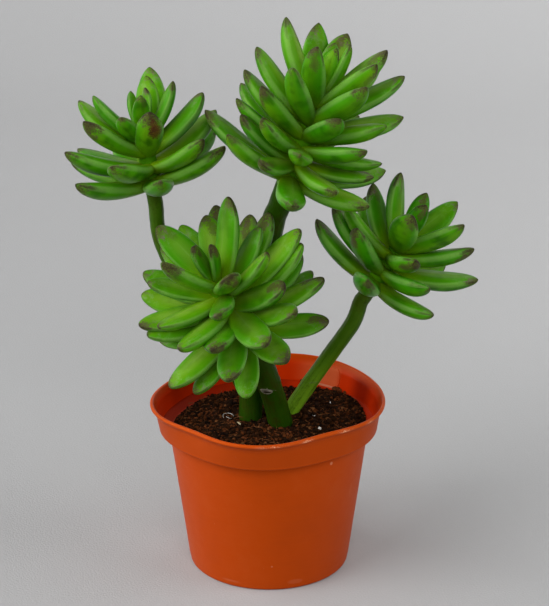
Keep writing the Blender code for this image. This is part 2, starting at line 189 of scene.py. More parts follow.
class Shader:
    """A new material and the nodes that feed its Principled shader."""

    def __init__(self, name: str, **constants: Any) -> None:
        """Makes the material.

        Args:
            name: The material's name.
            constants: Values for the shader's own sockets, with underscores for spaces.
        """
        self.material = bpy.data.materials.new(name)
        self.material.use_nodes = True
        self.tree = self.material.node_tree
        self.main = self.tree.nodes["Principled BSDF"]
        for key, value in constants.items():
            self.main.inputs[key.replace("_", " ").title().replace("Ior", "IOR")].default_value = value

    def node(
        self,
        kind: str,
        settings: dict[str, Any] | None = None,
        inputs: dict[int | str, Any] | None = None,
        output: int | str = 0,
    ) -> Signal:
        """Adds a node of any type.

        Args:
            kind: The node's type.
            settings: Its properties.
            inputs: Values or signals for its sockets, by index or name.
            output: Which output to return.

        Returns:
            The chosen output.
        """
        made = self.tree.nodes.new(kind)
        for key, value in (settings or {}).items():
            setattr(made, key, value)
        for key, value in (inputs or {}).items():
            self.feed(made.inputs[key], value)
        return Signal(self, made.outputs[output])

    def feed(self, socket: bpy.types.NodeSocket, value: Any) -> None:
        """Links a signal to a socket, or sets a plain value there.

        Args:
            socket: The input socket.
            value: A signal, a number, a word, or a colour without its alpha.
        """
        if isinstance(value, Signal):
            self.tree.links.new(value.socket, socket)
        elif isinstance(value, tuple) and len(value) == 3 and socket.type == "RGBA":
            socket.default_value = (*value, 1)
        else:
            socket.default_value = value

    def place(self) -> Signal:
        """The surface's place in metres."""
        return self.node("ShaderNodeTexCoord", output="Object")

    def axes(self) -> tuple[Signal, Signal, Signal]:
        """The surface's place along X, Y and Z, in metres."""
        where = self.place()
        return tuple(self.node("ShaderNodeSeparateXYZ", None, {0: where}, axis) for axis in "XYZ")

    def attribute(self, name: Attribute, channel: str) -> Signal:
        """One channel of a colour attribute or of a UV map.

        Args:
            name: The attribute.
            channel: Red, Green or Blue of a colour, or X or Y of a UV map.

        Returns:
            The channel's value.
        """
        if name is Attribute.BLADE:
            uv = self.node("ShaderNodeUVMap", {"uv_map": name.value})
            return self.node("ShaderNodeSeparateXYZ", None, {0: uv}, output=channel)
        marks = self.node("ShaderNodeAttribute", {"attribute_name": name.value}, output="Color")
        return self.node("ShaderNodeSeparateColor", None, {0: marks}, output=channel)

    def joined(self, x: Signal, y: Signal, z: Signal) -> Signal:
        """A vector from its three parts."""
        return self.node("ShaderNodeCombineXYZ", None, {0: x, 1: y, 2: z})

    def stretched(self, scale: Triple) -> Signal:
        """The place with each axis scaled, for a pattern that runs along one of them."""
        return self.node("ShaderNodeMapping", None, {"Vector": self.place(), "Scale": scale})

    def grain(self, scale: float, detail: float = 2, where: Signal | None = None) -> Signal:
        """Noise from 0 to 1, at a number of waves per metre or per unit of its own coordinate."""
        return self.node(
            "ShaderNodeTexNoise",
            None,
            {"Vector": where or self.place(), "Scale": scale, "Detail": detail, "Roughness": 0.6},
        )

    def cells(self, scale: float, output: str = "Distance") -> Signal:
        """Voronoi cells: the distance from each cell's middle, or its colour."""
        return self.node(
            "ShaderNodeTexVoronoi", None, {"Vector": self.place(), "Scale": scale}, output=output
        )

    def mix(self, low: Signal | Colour, high: Signal | Colour, share: Signal | float) -> Signal:
        """A colour between two, with the share of the second kept within 0 and 1."""
        return self.node(
            "ShaderNodeMix",
            {"data_type": "RGBA", "clamp_factor": True},
            {0: share, 6: low, 7: high},
            output=2,
        )

    @staticmethod
    def blend(low: float, high: float, share: Signal) -> Signal:
        """A number between two, by a share of the second."""
        return share * (high - low) + low

    def relief(self, height: Signal, depth: float) -> None:
        """Feeds a height through a Bump node to the shader's normal.

        Args:
            height: The height, from 0 to 1.
            depth: Its size in metres.
        """
        bump = self.node("ShaderNodeBump", None, {"Distance": depth, "Height": height}, "Normal")
        self.feed(self.main.inputs["Normal"], bump)

    def paint(self, colour: Signal, roughness: Signal) -> bpy.types.Material:
        """Feeds the shader's colour and roughness.

        Args:
            colour: The base colour.
            roughness: The roughness.

        Returns:
            The finished material.
        """
        self.feed(self.main.inputs["Base Color"], colour)
        self.feed(self.main.inputs["Roughness"], roughness)
        return self.material


@dataclass(frozen=True)
class LeafSignals:
    """What the leaves' shader reads: the place on the blade, its marks and four kinds of noise."""

    across: Signal
    along: Signal
    brushed: Signal
    tone: Signal
    upper: Signal
    broad: Signal
    medium: Signal
    fine: Signal
    streak: Signal


@dataclass(frozen=True)
class LeafFinish:
    """Waxy green leaf skin, dabbed with darker and paler greens, with brown and grey tips; its pale
    margins and the pale patches near the tips are partly painted sheen.
    """

    root: Colour = (0.155, 0.290, 0.002)
    young: Colour = (0.140, 0.335, 0.005)
    mature: Colour = (0.040, 0.205, 0.001)
    vivid: Colour = (0.024, 0.262, 0.002)
    deep: Colour = (0.010, 0.080, 0.001)
    pale: Colour = (0.250, 0.400, 0.052)
    # Pale margin colour: partly the leaf's own pale edge, partly painted sheen along the rounded margin.
    margin_and_sheen: Colour = (0.215, 0.400, 0.090)
    # Pale grey-green near the tips: partly the leaf's own waxy coat, partly painted highlight on the
    # upper face.
    bloom_and_sheen: Colour = (0.300, 0.460, 0.200)
    smudge: Colour = (0.068, 0.038, 0.020)
    ash: Colour = (0.330, 0.300, 0.240)
    char: Colour = (0.022, 0.013, 0.009)
    blush: Colour = (0.120, 0.030, 0.011)
    gloss: float = 0.31
    flesh_depth: float = 0.12
    flesh_reach: Triple = (0.4, 0.9, 0.1)
    flesh_scale: float = 0.003
    specular: float = 0.15
    sheen: Colour = (0.80, 1.0, 0.30)
    broad_waves: float = 85
    medium_waves: float = 300
    fine_waves: float = 1500
    streak_waves: Pair = (2.6, 1.5)
    relief_depth: float = 0.0003
    blot_along: float = 0.84
    stain_across: float = 0.42
    stain_along: float = 0.76

    def _signals(self, shader: Shader) -> LeafSignals:
        """Reads the blade map and the marks, and makes the noise.

        Args:
            shader: The leaves' shader.

        Returns:
            The signals.
        """
        across = shader.attribute(Attribute.BLADE, "X") * 2 - 1
        along = shader.attribute(Attribute.BLADE, "Y")
        tone = shader.attribute(Attribute.MARKS, "Green")
        wide, long = self.streak_waves
        lengthways = shader.joined(across * wide, along * long, tone * 40)
        return LeafSignals(
            across=across,
            along=along,
            brushed=shader.attribute(Attribute.MARKS, "Red"),
            tone=tone,
            upper=shader.attribute(Attribute.MARKS, "Blue"),
            broad=shader.grain(self.broad_waves, 2),
            medium=shader.grain(self.medium_waves, 3),
            fine=shader.grain(self.fine_waves, 3),
            streak=shader.grain(1, 3, lengthways),
        )

    def material(self) -> bpy.types.Material:
        """Builds the material.

        Returns:
            The material, which reads the leaves' blade map and marks.
        """
        shader = Shader(
            "leaf_skin",
            subsurface_weight=self.flesh_depth,
            subsurface_radius=self.flesh_reach,
            subsurface_scale=self.flesh_scale,
            specular_ior_level=self.specular,
            specular_tint=(*self.sheen, 1),
        )
        leaf = self._signals(shader)
        colour = self._flesh(shader, leaf)
        colour = self._edges(shader, colour, leaf)
        colour, rough = self._tip(shader, colour, leaf)
        colour = self._stain(shader, colour, leaf)
        shader.relief(leaf.streak * 0.6 + leaf.fine * 0.15 + leaf.medium * 0.4, self.relief_depth)
        return shader.paint(colour, rough + leaf.medium * 0.12)

    def _flesh(self, shader: Shader, leaf: LeafSignals) -> Signal:
        """The blade's greens: pale root and middle, vivid sides and dark dabs.

        Args:
            shader: The leaves' shader.
            leaf: Its signals.

        Returns:
            The colour.
        """
        along, streak, upper = leaf.along, leaf.streak, leaf.upper
        blade = shader.mix(self.mature, self.young, leaf.tone * 0.9 + streak * 0.5 - 0.25)
        sides = abs(leaf.across).step(0.35, 0.85) * (1 - upper * 0.3)
        colour = shader.mix(blade, self.vivid, sides * 0.45)
        middle = abs(leaf.across + streak * 0.3 - 0.15).step(0.62, 0.05) * upper
        paler = middle * along.step(0.98, 0.55) * (leaf.tone * 0.55 + 0.08)
        colour = shader.mix(colour, self.pale, paler)
        colour = shader.mix(self.root, colour, (along + streak * 0.3).step(0.15, 0.70))
        dabs = (leaf.broad + streak * 0.45).step(0.66, 0.95) * (1 - upper * 0.55)
        return shader.mix(colour, self.deep, dabs * along.step(0.12, 0.55) * 0.75)

    def _edges(self, shader: Shader, colour: Signal, leaf: LeafSignals) -> Signal:
        """The pale margins, the faint line down the upper face and the pale patches near the tip; the
        margins and the patches are partly painted sheen.

        Args:
            shader: The leaves' shader.
            colour: The colour so far.
            leaf: The shader's signals.

        Returns:
            The colour.
        """
        along, fine, medium = leaf.along, leaf.fine, leaf.medium
        # Pale margins: partly the leaf's own pale edge, partly painted sheen where the rounded margin
        # turns.
        margin_and_sheen = abs(leaf.across).step(0.86, 0.98) * along.step(0.1, 0.4)
        colour = shader.mix(colour, self.margin_and_sheen, margin_and_sheen * (0.24 + fine * 0.36))
        line = abs(leaf.across + (medium - 0.5) * 0.12).step(0.09, 0.0) * leaf.upper
        colour = shader.mix(colour, self.margin_and_sheen, line * along.step(0.9, 0.4) * 0.20)
        # Pale patches near the tip on the upper face: partly waxy coat, partly painted highlight.
        hazy = (medium * 0.7 + fine * 0.3).step(0.47, 0.66) * along.step(0.66, 0.88)
        return shader.mix(colour, self.bloom_and_sheen, hazy * leaf.upper * 0.24)

    def _tip(self, shader: Shader, colour: Signal, leaf: LeafSignals) -> tuple[Signal, Signal]:
        """The rough smudge to one side of the tip, its dark spots and its thin dark edge.

        Args:
            shader: The leaves' shader.
            colour: The colour so far.
            leaf: The shader's signals.

        Returns:
            The colour and the roughness.
        """
        across, along, brushed = leaf.across, leaf.along, leaf.brushed
        blotch, fleck = leaf.medium - 0.5, leaf.fine - 0.5
        one_side = across * (leaf.tone * 60).sine()
        reach = along + blotch * 0.31 + fleck * 0.26 + one_side * 0.08 + brushed * 0.17
        smudge = reach.step(0.95, 1.09) * brushed.step(0.0, 0.15)
        colour = shader.mix(colour, self.smudge, smudge * (leaf.fine * 0.8 + 0.40))
        beside = across - (leaf.tone * 90).sine() * 0.4
        above = along - self.blot_along
        round_blot = 1 - beside * beside * 2.4 - above * above * 34
        blot = (round_blot + blotch * 1.3 + fleck * 1.2).step(0.42, 0.80)
        blot = blot * brushed.step(0.50, 0.80)
        colour = shader.mix(colour, self.smudge, blot * (leaf.fine * 0.7 + 0.36))
        ashen = (leaf.fine * 0.6 + leaf.medium * 0.4).step(0.50, 0.64) * smudge
        colour = shader.mix(colour, self.ash, ashen * (0.10 + leaf.upper * 0.32))
        spots = (reach + fleck * 0.5).step(1.05, 1.20)
        colour = shader.mix(colour, self.char, spots * brushed.step(0.0, 0.3) * 0.75)
        rim = (along + fleck * 0.02).step(0.975, 0.995)
        edge = abs(across).step(0.90, 0.99) * (along + blotch * 0.3).step(0.76, 0.92)
        colour = shader.mix(colour, self.char, rim.most(edge) * (0.35 + brushed * 0.5))
        return colour, smudge * 0.22 + self.gloss

    def _stain(self, shader: Shader, colour: Signal, leaf: LeafSignals) -> Signal:
        """The reddish stain with dark flecks on the leaves that are brushed most.

        Args:
            shader: The leaves' shader.
            colour: The colour so far.
            leaf: The shader's signals.

        Returns:
            The colour.
        """
        right = leaf.across - self.stain_across
        high = leaf.along - self.stain_along
        ragged = (leaf.medium - 0.5) * 1.2 + (leaf.fine - 0.5) * 2.0
        stain = (1 - right * right * 2.6 - high * high * 22 + ragged).step(0.20, 0.70)
        stain = stain * leaf.brushed.step(0.96, 0.99)
        colour = shader.mix(colour, self.blush, stain * 0.88)
        flecks = (leaf.fine * 0.7 + leaf.medium * 0.3).step(0.44, 0.60)
        return shader.mix(colour, self.char, stain * flecks * 0.7)


@dataclass(frozen=True)
class StemFinish:
    """Smooth green stem, lighter or darker along its height as each stem's marks say, partly as painted
    highlight and shade, with lengthwise streaks, brown blots and grey scars.
    """

    # The lightest green, which low on the right stem also serves as a painted highlight.
    light: Colour = (0.140, 0.300, 0.012)
    mid: Colour = (0.021, 0.072, 0.001)
    dark: Colour = (0.008, 0.031, 0.0004)
    brown: Colour = (0.026, 0.016, 0.002)
    corky: Colour = (0.270, 0.248, 0.195)
    slit: Colour = (0.016, 0.012, 0.008)
    gloss: float = 0.28
    flesh_depth: float = 0.05
    flesh_scale: float = 0.003
    specular: float = 0.16
    sheen: Colour = (0.85, 1.0, 0.30)
    broad_waves: float = 60
    fine_waves: float = 900
    streak_waves: Pair = (2.6, 6)
    relief_depth: float = 0.0004

    def material(self) -> bpy.types.Material:
        """Builds the material.

        Returns:
            The material; the marks tell how green the stem is and carry its painted highlight and shade,
            and the scar map where it is marked.
        """
        shader = Shader(
            "stem_skin_smooth",
            subsurface_weight=self.flesh_depth,
            subsurface_scale=self.flesh_scale,
            specular_ior_level=self.specular,
            specular_tint=(*self.sheen, 1),
        )
        around = shader.attribute(Attribute.BLADE, "X")
        along = shader.attribute(Attribute.BLADE, "Y")
        height = shader.attribute(Attribute.MARKS, "Green")
        turn = around * math.tau
        wide, long = self.streak_waves
        streaks = shader.grain(
            1, 3, shader.joined(turn.sine() * wide, along * long, turn.cosine() * wide)
        )
        broad = shader.grain(self.broad_waves, 3)
        fine = shader.grain(self.fine_waves, 3)
        # The marks' share picks dark, mid and light green; on some stems it holds painted highlight and
        # shade.
        green = shader.mix(self.dark, self.mid, height * 1.5 + broad * 0.5 - 0.25)
        green = shader.mix(green, self.light, (height - 0.35) * 1.3 + broad * 0.4 - 0.15)
        green = shader.mix(green, self.dark, (streaks + fine * 0.2).step(0.60, 0.82) * 0.6)
        blots = (broad + fine * 0.35 + streaks * 0.2).step(0.76, 0.94)
        colour = shader.mix(green, self.brown, blots * (1 - height * 0.7) * 0.6)
        colour, corky = self._scar(shader, colour, fine)
        shader.relief(streaks * 0.7 + fine * 0.2 + broad * 0.5, self.relief_depth)
        return shader.paint(colour, corky * 0.3 + broad * 0.18 + self.gloss)

    def _scar(self, shader: Shader, colour: Signal, fine: Signal) -> tuple[Signal, Signal]:
        """A leaf scar: two pale corky lips round a dark slit, with a pale thread in it.

        Args:
            shader: The stems' shader.
            colour: The colour so far.
            fine: Its fine noise.

        Returns:
            The colour, and how corky the surface is.
        """
        wide = shader.attribute(Attribute.SCAR, "Red")
        tall = shader.attribute(Attribute.SCAR, "Green")
        strength = shader.attribute(Attribute.SCAR, "Blue")
        lens = 1 - wide * wide
        ragged = tall + (fine - 0.5) * 0.25
        opening = (lens * 0.8 - abs(ragged)).step(0.0, 0.2)
        colour = shader.mix(colour, self.slit, opening * strength.step(0.0, 0.5))
        upper = abs(ragged - lens * 0.75).step(0.34, 0.10)
        lower = abs(ragged + lens * 0.85).step(0.24, 0.08) * 0.7
        thread = abs(ragged - wide * 0.2 - 0.06).step(0.22, 0.06) * lens.step(0.25, 0.6)
        corky = upper.most(lower).most(thread) * lens.step(0.0, 0.25) * strength
        return shader.mix(colour, self.corky, corky * (0.3 + fine * 0.9)), corky


@dataclass(frozen=True)
class Rub:
    """A pale mark on the pot: its turn in degrees, height in metres, size in both and strength."""

    turn: float
    height: float
    wide: float
    tall: float
    strength: float


@dataclass(frozen=True)
class PlasticFinish:
    """Moulded orange plastic: satin outside and glossier inside, with pale scuffs, painted shade and
    painted highlights; the inside is painted brighter and redder for light glowing through the thin
    wall.
    """

    outside: Colour = (0.408, 0.047, 0.002)
    # Painted glow: brighter and redder than the outside, for light that shines through the thin wall.
    inside: Colour = (0.600, 0.028, 0.0005)
    shadowed: Colour = (0.220, 0.007, 0.0003)
    # Painted sheen on the moulded panel of the inner wall.
    panel: Colour = (0.700, 0.170, 0.060)
    # Painted highlight: the lip is lighter than the body, as light catches its top.
    lip: Colour = (0.480, 0.060, 0.003)
    chalky: Colour = (0.460, 0.085, 0.018)
    # Pale scuffs, specks and scratches, and also the painted glint on the inner ledge.
    scuff_and_glint: Colour = (0.850, 0.500, 0.300)
    # Grime in patches, and also the painted shade on the band under the lip.
    grime_and_shade: Colour = (0.260, 0.035, 0.004)
    rubs_and_highlights: tuple[Rub, ...] = (
        Rub(-50, 0.0702, 1.0, 0.0010, 0.40),
        Rub(-29, 0.0490, 2.0, 0.0045, 0.05),
        # The next two low marks near the foot are a painted highlight.
        Rub(-71, 0.0045, 6.0, 0.0016, 0.06),
        Rub(-118, 0.0035, 9.0, 0.0008, 0.08),
        Rub(-88, 0.0148, 0.8, 0.0006, 0.20),
    )
    gloss: float = 0.46
    inner_gloss: float = 0.26
    specular: float = 0.17
    sheen: Colour = (1.0, 0.42, 0.10)
    broad_waves: float = 26
    cloudy_waves: float = 140
    fine_waves: float = 1700
    speck_waves: float = 560
    ring_waves: Triple = (18, 18, 420)
    scratch_waves: Triple = (300, 300, 50)
    relief_depth: float = 0.00018
    panel_turns: tuple[Pair, Pair] = ((47, 52), (80, 60))
    panel_heights: tuple[Pair, Pair] = ((0.0766, 0.0776), (0.0890, 0.0868))
    glint_turns: tuple[Pair, Pair] = ((47, 53), (68, 62))
    glint_heights: tuple[Pair, Pair] = ((0.0757, 0.0761), (0.0772, 0.0767))
    ledge_heights: tuple[Pair, Pair] = ((0.0732, 0.0740), (0.0768, 0.0762))
    shade_turns: tuple[Pair, Pair] = ((15, 27), (43, 31))
    band_heights: Pair = (0.0740, 0.0765)

    def material(self) -> bpy.types.Material:
        """Builds the material.

        Returns:
            The material; the marks say what is inside, what is lip and what is scuffed.
        """
        shader = Shader(
            "pot_plastic_satin", specular_ior_level=self.specular, specular_tint=(*self.sheen, 1)
        )
        inner = shader.attribute(Attribute.MARKS, "Red")
        lip = shader.attribute(Attribute.MARKS, "Green")
        rubbed = shader.attribute(Attribute.MARKS, "Blue")
        broad = shader.grain(self.broad_waves, 3)
        cloudy = shader.grain(self.cloudy_waves, 3)
        fine = shader.grain(self.fine_waves, 3)
        rings = shader.grain(1, 3, shader.stretched(self.ring_waves))
        outer = 1 - inner
        x, y, z = shader.axes()
        turn = y.math("ARCTAN2", x) * (180 / math.pi)
        # Painted shade: the band under the lip is darker, as it faces a little downwards.
        band = z.step(*self.band_heights) * outer
        # The inside gets the painted glow of light through the thin wall.
        colour = shader.mix(self.outside, self.inside, inner)
        colour = shader.mix(colour, self.grime_and_shade, band * 0.30)
        # Painted sheen: the moulded panel of the inner wall is paler.
        panel = turn.window(*self.panel_turns) * z.window(*self.panel_heights)
        colour = shader.mix(colour, self.panel, panel * inner * (1 - lip) * 0.55)
        # Painted highlight: a thin glint along the corner of the inner ledge.
        glint = z.window(*self.glint_heights) * turn.window(*self.glint_turns)
        colour = shader.mix(colour, self.scuff_and_glint, glint * inner * 0.55)
        ledge = z.window(*self.ledge_heights) * inner
        away = turn.step(72, 84).most(turn.step(-90, -100))
        colour = shader.mix(colour, self.shadowed, ledge * (away * 0.5 + 0.35))
        shade = turn.window(*self.shade_turns) * inner * (1 - lip)
        colour = shader.mix(colour, self.shadowed, shade * 0.85)
        # Painted highlight on the lip.
        colour = shader.mix(colour, self.lip, lip * 0.7)
        colour = shader.mix(colour, self.grime_and_shade, (broad + rings * 0.3).step(0.62, 0.95) * 0.22)
        colour = shader.mix(colour, self.chalky, (broad + cloudy * 0.5).step(0.82, 0.45) * outer * 0.16)
        specks = shader.grain(self.speck_waves, 4).step(0.75, 0.79) * outer
        colour = shader.mix(colour, self.scuff_and_glint, specks * 0.45)
        scratches = shader.grain(1, 5, shader.stretched(self.scratch_waves)).step(0.74, 0.80)
        colour = shader.mix(colour, self.scuff_and_glint, scratches * outer * 0.22)
        worn = rubbed * (fine + cloudy * 0.6).step(0.73, 0.90)
        # The marks from the table include a painted highlight near the foot.
        worn = worn.most(self._dabs(turn, z, cloudy) * outer)
        colour = shader.mix(colour, self.scuff_and_glint, worn * 0.75)
        shader.relief(rings * 0.35 + fine * 0.25 + cloudy * 0.4, self.relief_depth)
        rough = shader.blend(self.gloss, self.inner_gloss, inner) + cloudy * 0.10 + worn * 0.3
        return shader.paint(colour, rough + ledge * 0.35)

    def _dabs(self, turn: Signal, z: Signal, cloudy: Signal) -> Signal:
        """The few pale marks on the outside: a nick below the band, faint rubbed spots and a faint
        painted highlight near the foot.

        Args:
            turn: Degrees round the pot from +X.
            z: Metres above the ground.
            cloudy: Noise that makes their edges ragged.

        Returns:
            How strongly the surface is marked.
        """
        found = 0
        for rub in self.rubs_and_highlights:
            off = (turn - rub.turn) / rub.wide
            rise = (z - rub.height) / rub.tall
            shape = (1.2 - off * off - rise * rise + (cloudy - 0.5) * 1.2).step(0.2, 1.0)
            found = shape * rub.strength + found
        return found


@dataclass(frozen=True)
class PeatFinish:
    """Crumbly dark peat, with reddish and blackish crumbs."""

    name: str = "peat_crumbly"
    base: Colour = (0.021, 0.0075, 0.002)
    dark: Colour = (0.005, 0.002, 0.001)
    red: Colour = (0.092, 0.024, 0.005)
    pale: Colour = (0.220, 0.095, 0.035)
    scale: float = 520
    broad_waves: float = 90
    fine_waves: float = 1900
    relief_depth: float = 0.0005
    specular: float = 0.06
    rough: float = 0.85
    by_piece: bool = False

    def material(self) -> bpy.types.Material:
        """Builds the material.

        Returns:
            The material, with a colour for each crumb or for each small cell of the surface.
        """
        shader = Shader(self.name, specular_ior_level=self.specular)
        broad = shader.grain(self.broad_waves, 3)
        fine = shader.grain(self.fine_waves, 3)
        pick = shader.node(
            "ShaderNodeSeparateColor", None, {0: shader.cells(self.scale, "Color")}, output="Red"
        )
        if self.by_piece:
            pick = shader.attribute(Attribute.MARKS, "Red") * 0.85 + pick * 0.15
        colour = shader.mix(self.dark, self.base, (pick + broad * 0.6).step(0.25, 0.85))
        colour = shader.mix(colour, self.red, (pick + broad * 0.25).step(0.80, 1.02) * 0.9)
        colour = shader.mix(colour, self.pale, (pick + fine * 0.1).step(0.97, 1.04) * 0.7)
        shader.relief(fine * 0.6 + shader.cells(self.scale * 2) * 0.5, self.relief_depth)
        return shader.paint(colour, fine * 0.1 + self.rough)


@dataclass(frozen=True)
class SpeckFinish:
    """A plain crumb or fibre in one hue that varies a little from place to place."""

    name: str
    low: Colour
    high: Colour
    rough: float = 0.85
    specular: float = 0.08
    patch_waves: float = 500
    fine_waves: float = 3000
    relief_depth: float = 0.0002

    def material(self) -> bpy.types.Material:
        """Builds the material.

        Returns:
            The material.
        """
        shader = Shader(self.name, specular_ior_level=self.specular)
        patchy = shader.grain(self.patch_waves, 3)
        fine = shader.grain(self.fine_waves, 2)
        colour = shader.mix(self.low, self.high, (patchy + fine * 0.3).step(0.35, 0.85))
        shader.relief(fine, self.relief_depth)
        return shader.paint(colour, patchy * 0.1 + self.rough)


@dataclass(frozen=True)
class BackdropFinish:
    """Matt pale grey paper under and behind the pot, with painted light: a little lighter to the right
    and further back.
    """

    colour: Colour = (0.530, 0.530, 0.532)
    shade: Colour = (0.330, 0.330, 0.332)

    def material(self) -> bpy.types.Material:
        """Builds the material.

        Returns:
            The material.
        """
        shader = Shader("paper", specular_ior_level=0.1)
        cloudy = shader.grain(6, 2)
        x, y, _ = shader.axes()
        # Painted light: the paper is lighter to the right and further back, darker to the left.
        colour = shader.mix(self.shade, self.colour, x + y * 0.3 + cloudy * 0.05 + 0.335)
        shader.relief(shader.grain(900, 2), 0.0002)
        return shader.paint(colour, cloudy * 0.05 + 0.9)


# Modelling with operators


class Bench:
    """Blender's modelling operators, each with the selection that it needs."""

    @staticmethod
    def clear() -> None:
        """Deselects every object."""
        for obj in bpy.context.view_layer.objects:
            obj.select_set(False)

    @classmethod
    def take(cls, obj: bpy.types.Object) -> None:
        """Selects one object alone and makes it active.

        Args:
            obj: The object.
        """
        cls.clear()
        obj.select_set(True)
        bpy.context.view_layer.objects.active = obj

    @staticmethod
    def edit() -> None:
        """Goes to edit mode with all of the active mesh selected."""
        bpy.ops.object.mode_set(mode="EDIT")
        bpy.ops.mesh.select_all(action="SELECT")

    @staticmethod
    def add(name: str, data: bpy.types.ID) -> bpy.types.Object:
        """Puts new data into the scene as an object.

        Args:
            name: The object's name.
            data: A mesh, a curve, a light or a camera.

        Returns:
            The object.
        """
        obj = bpy.data.objects.new(name, data)
        bpy.context.scene.collection.objects.link(obj)
        return obj

    @classmethod
    def mesh(
        cls, name: str, points: np.ndarray, faces: Sequence[tuple[int, ...]]
    ) -> bpy.types.Object:
        """Makes an object from points and faces that were copied from modelled shapes.

        Args:
            name: The object's name.
            points: The places of its points, one row each.
            faces: Its faces as tuples of point numbers.

        Returns:
            The object.
        """
        data = bpy.data.meshes.new(name)
        data.from_pydata(points.tolist(), [], faces)
        return cls.add(name, data)

    @classmethod
    def ring(cls, name: str, sides: int, radius: float, height: float) -> bpy.types.Object:
        """Adds an open circle round the Z axis and goes to edit mode with all of it selected.

        Args:
            name: The new object's name.
            sides: Its number of points.
            radius: Its radius in metres.
            height: Its height in metres.

        Returns:
            The object.
        """
        cls.clear()
        bpy.ops.mesh.primitive_circle_add(vertices=sides, radius=radius, location=(0, 0, 0))
        obj = bpy.context.active_object
        obj.name = name
        obj.data.name = name
        cls.edit()
        bpy.ops.transform.translate(value=(0, 0, height))
        return obj

    @staticmethod
    def grow(rise: float, scale: float, height: float) -> None:
        """Extrudes the selected ring along Z and scales the new ring about the axis.

        Args:
            rise: How far up, in metres.
            scale: The new ring's size as a share of the old one's.
            height: The new ring's height in metres.
        """
        bpy.ops.mesh.extrude_region_move(TRANSFORM_OT_translate={"value": (0, 0, rise)})
        bpy.ops.transform.resize(value=(scale, scale, 1), center_override=(0, 0, height))

    @staticmethod
    def close(obj: bpy.types.Object, heights: Iterable[float]) -> None:
        """Caps the open rings at some heights and makes all faces point outwards.

        Args:
            obj: The object in edit mode.
            heights: The heights of the rings to cap.
        """
        for height in heights:
            bpy.ops.mesh.select_all(action="DESELECT")
            bm = bmesh.from_edit_mesh(obj.data)
            for edge in bm.edges:
                level = all(abs(v.co.z - height) < 1e-6 for v in edge.verts)
                edge.select_set(level and edge.is_boundary)
            bmesh.update_edit_mesh(obj.data)
            bpy.ops.mesh.edge_face_add()
        bpy.ops.mesh.select_all(action="SELECT")
        bpy.ops.mesh.normals_make_consistent(inside=False)
        bpy.ops.object.mode_set(mode="OBJECT")

    @classmethod
    def lathe(cls, name: str, outline: Sequence[Pair], sides: int) -> bpy.types.Object:
        """Turns a closed shape from (radius, height) points, by extruding ring after ring.

        Args:
            name: The new object's name.
            outline: The points from one cap to the other.
            sides: The number of points round it.

        Returns:
            The object, in object mode.
        """
        radius, height = outline[0]
        obj = cls.ring(name, sides, radius, height)
        for next_radius, next_height in outline[1:]:
            cls.grow(next_height - height, next_radius / radius, next_height)
            radius, height = next_radius, next_height
        cls.close(obj, (outline[0][1], outline[-1][1]))
        return obj

    @classmethod
    def modify(cls, obj: bpy.types.Object, kind: str, **settings: Any) -> None:
        """Adds a modifier and applies it.

        Args:
            obj: The object.
            kind: The modifier's type.
            settings: The modifier's properties.
        """
        cls.take(obj)
        bpy.ops.object.modifier_add(type=kind)
        modifier = obj.modifiers[-1]
        for key, value in settings.items():
            setattr(modifier, key, value)
        bpy.ops.object.modifier_apply(modifier=modifier.name)

    @classmethod
    def smooth(cls, obj: bpy.types.Object, angle: float = 50) -> None:
        """Shades smooth, with edges steeper than an angle in degrees kept sharp."""
        cls.take(obj)
        bpy.ops.object.shade_smooth_by_angle(angle=math.radians(angle))

    @classmethod
    def tube(
        cls, name: str, route: Sequence[Vector], radii: Sequence[float], fineness: int
    ) -> bpy.types.Object:
        """A round rod along points, with closed ends.

        Args:
            name: The new object's name.
            route: The points of its middle line.
            radii: Its radius at each point, in metres.
            fineness: The bevel resolution, which sets its number of sides.

        Returns:
            The object, as a mesh.
        """
        curve = bpy.data.curves.new(name, "CURVE")
        curve.dimensions = "3D"
        curve.bevel_depth = max(radii)
        curve.bevel_resolution = fineness
        curve.use_fill_caps = True
        spline = curve.splines.new("POLY")
        spline.points.add(len(route) - 1)
        for point, place, radius in zip(spline.points, route, radii):
            point.co = (*place, 1)
            point.radius = radius / max(radii)
        cls.take(cls.add(name, curve))
        bpy.ops.object.convert(target="MESH")
        obj = bpy.context.active_object
        cls.edit()
        bpy.ops.mesh.remove_doubles(threshold=1e-6)
        bpy.ops.mesh.normals_make_consistent(inside=False)
        bpy.ops.object.mode_set(mode="OBJECT")
        return obj

    @staticmethod
    def discard(obj: bpy.types.Object) -> None:
        """Removes an object that was only a pattern for others."""
        bpy.data.objects.remove(obj)


def mesh_points(obj: bpy.types.Object) -> np.ndarray:
    """Reads where a mesh's points are.

    Args:
        obj: The object.

    Returns:
        The places, one row each.
    """
    places = np.empty(len(obj.data.vertices) * 3)
    obj.data.vertices.foreach_get("co", places)
    return places.reshape(-1, 3)


def mesh_faces(obj: bpy.types.Object) -> list[tuple[int, ...]]:
    """A mesh's faces as tuples of point numbers."""
    return [tuple(face.vertices) for face in obj.data.polygons]


def turn_apart(turn: Values, middle: float, whole: float = 360) -> Values:
    """The turn from one place to another, within half a turn either way."""
    return (turn - middle + whole / 2) % whole - whole / 2


def hump(off: Values, width: float) -> Values:
    """A smooth hump: 1 at no distance and nearly 0 two widths away."""
    return np.exp(-((off / width) ** 2))


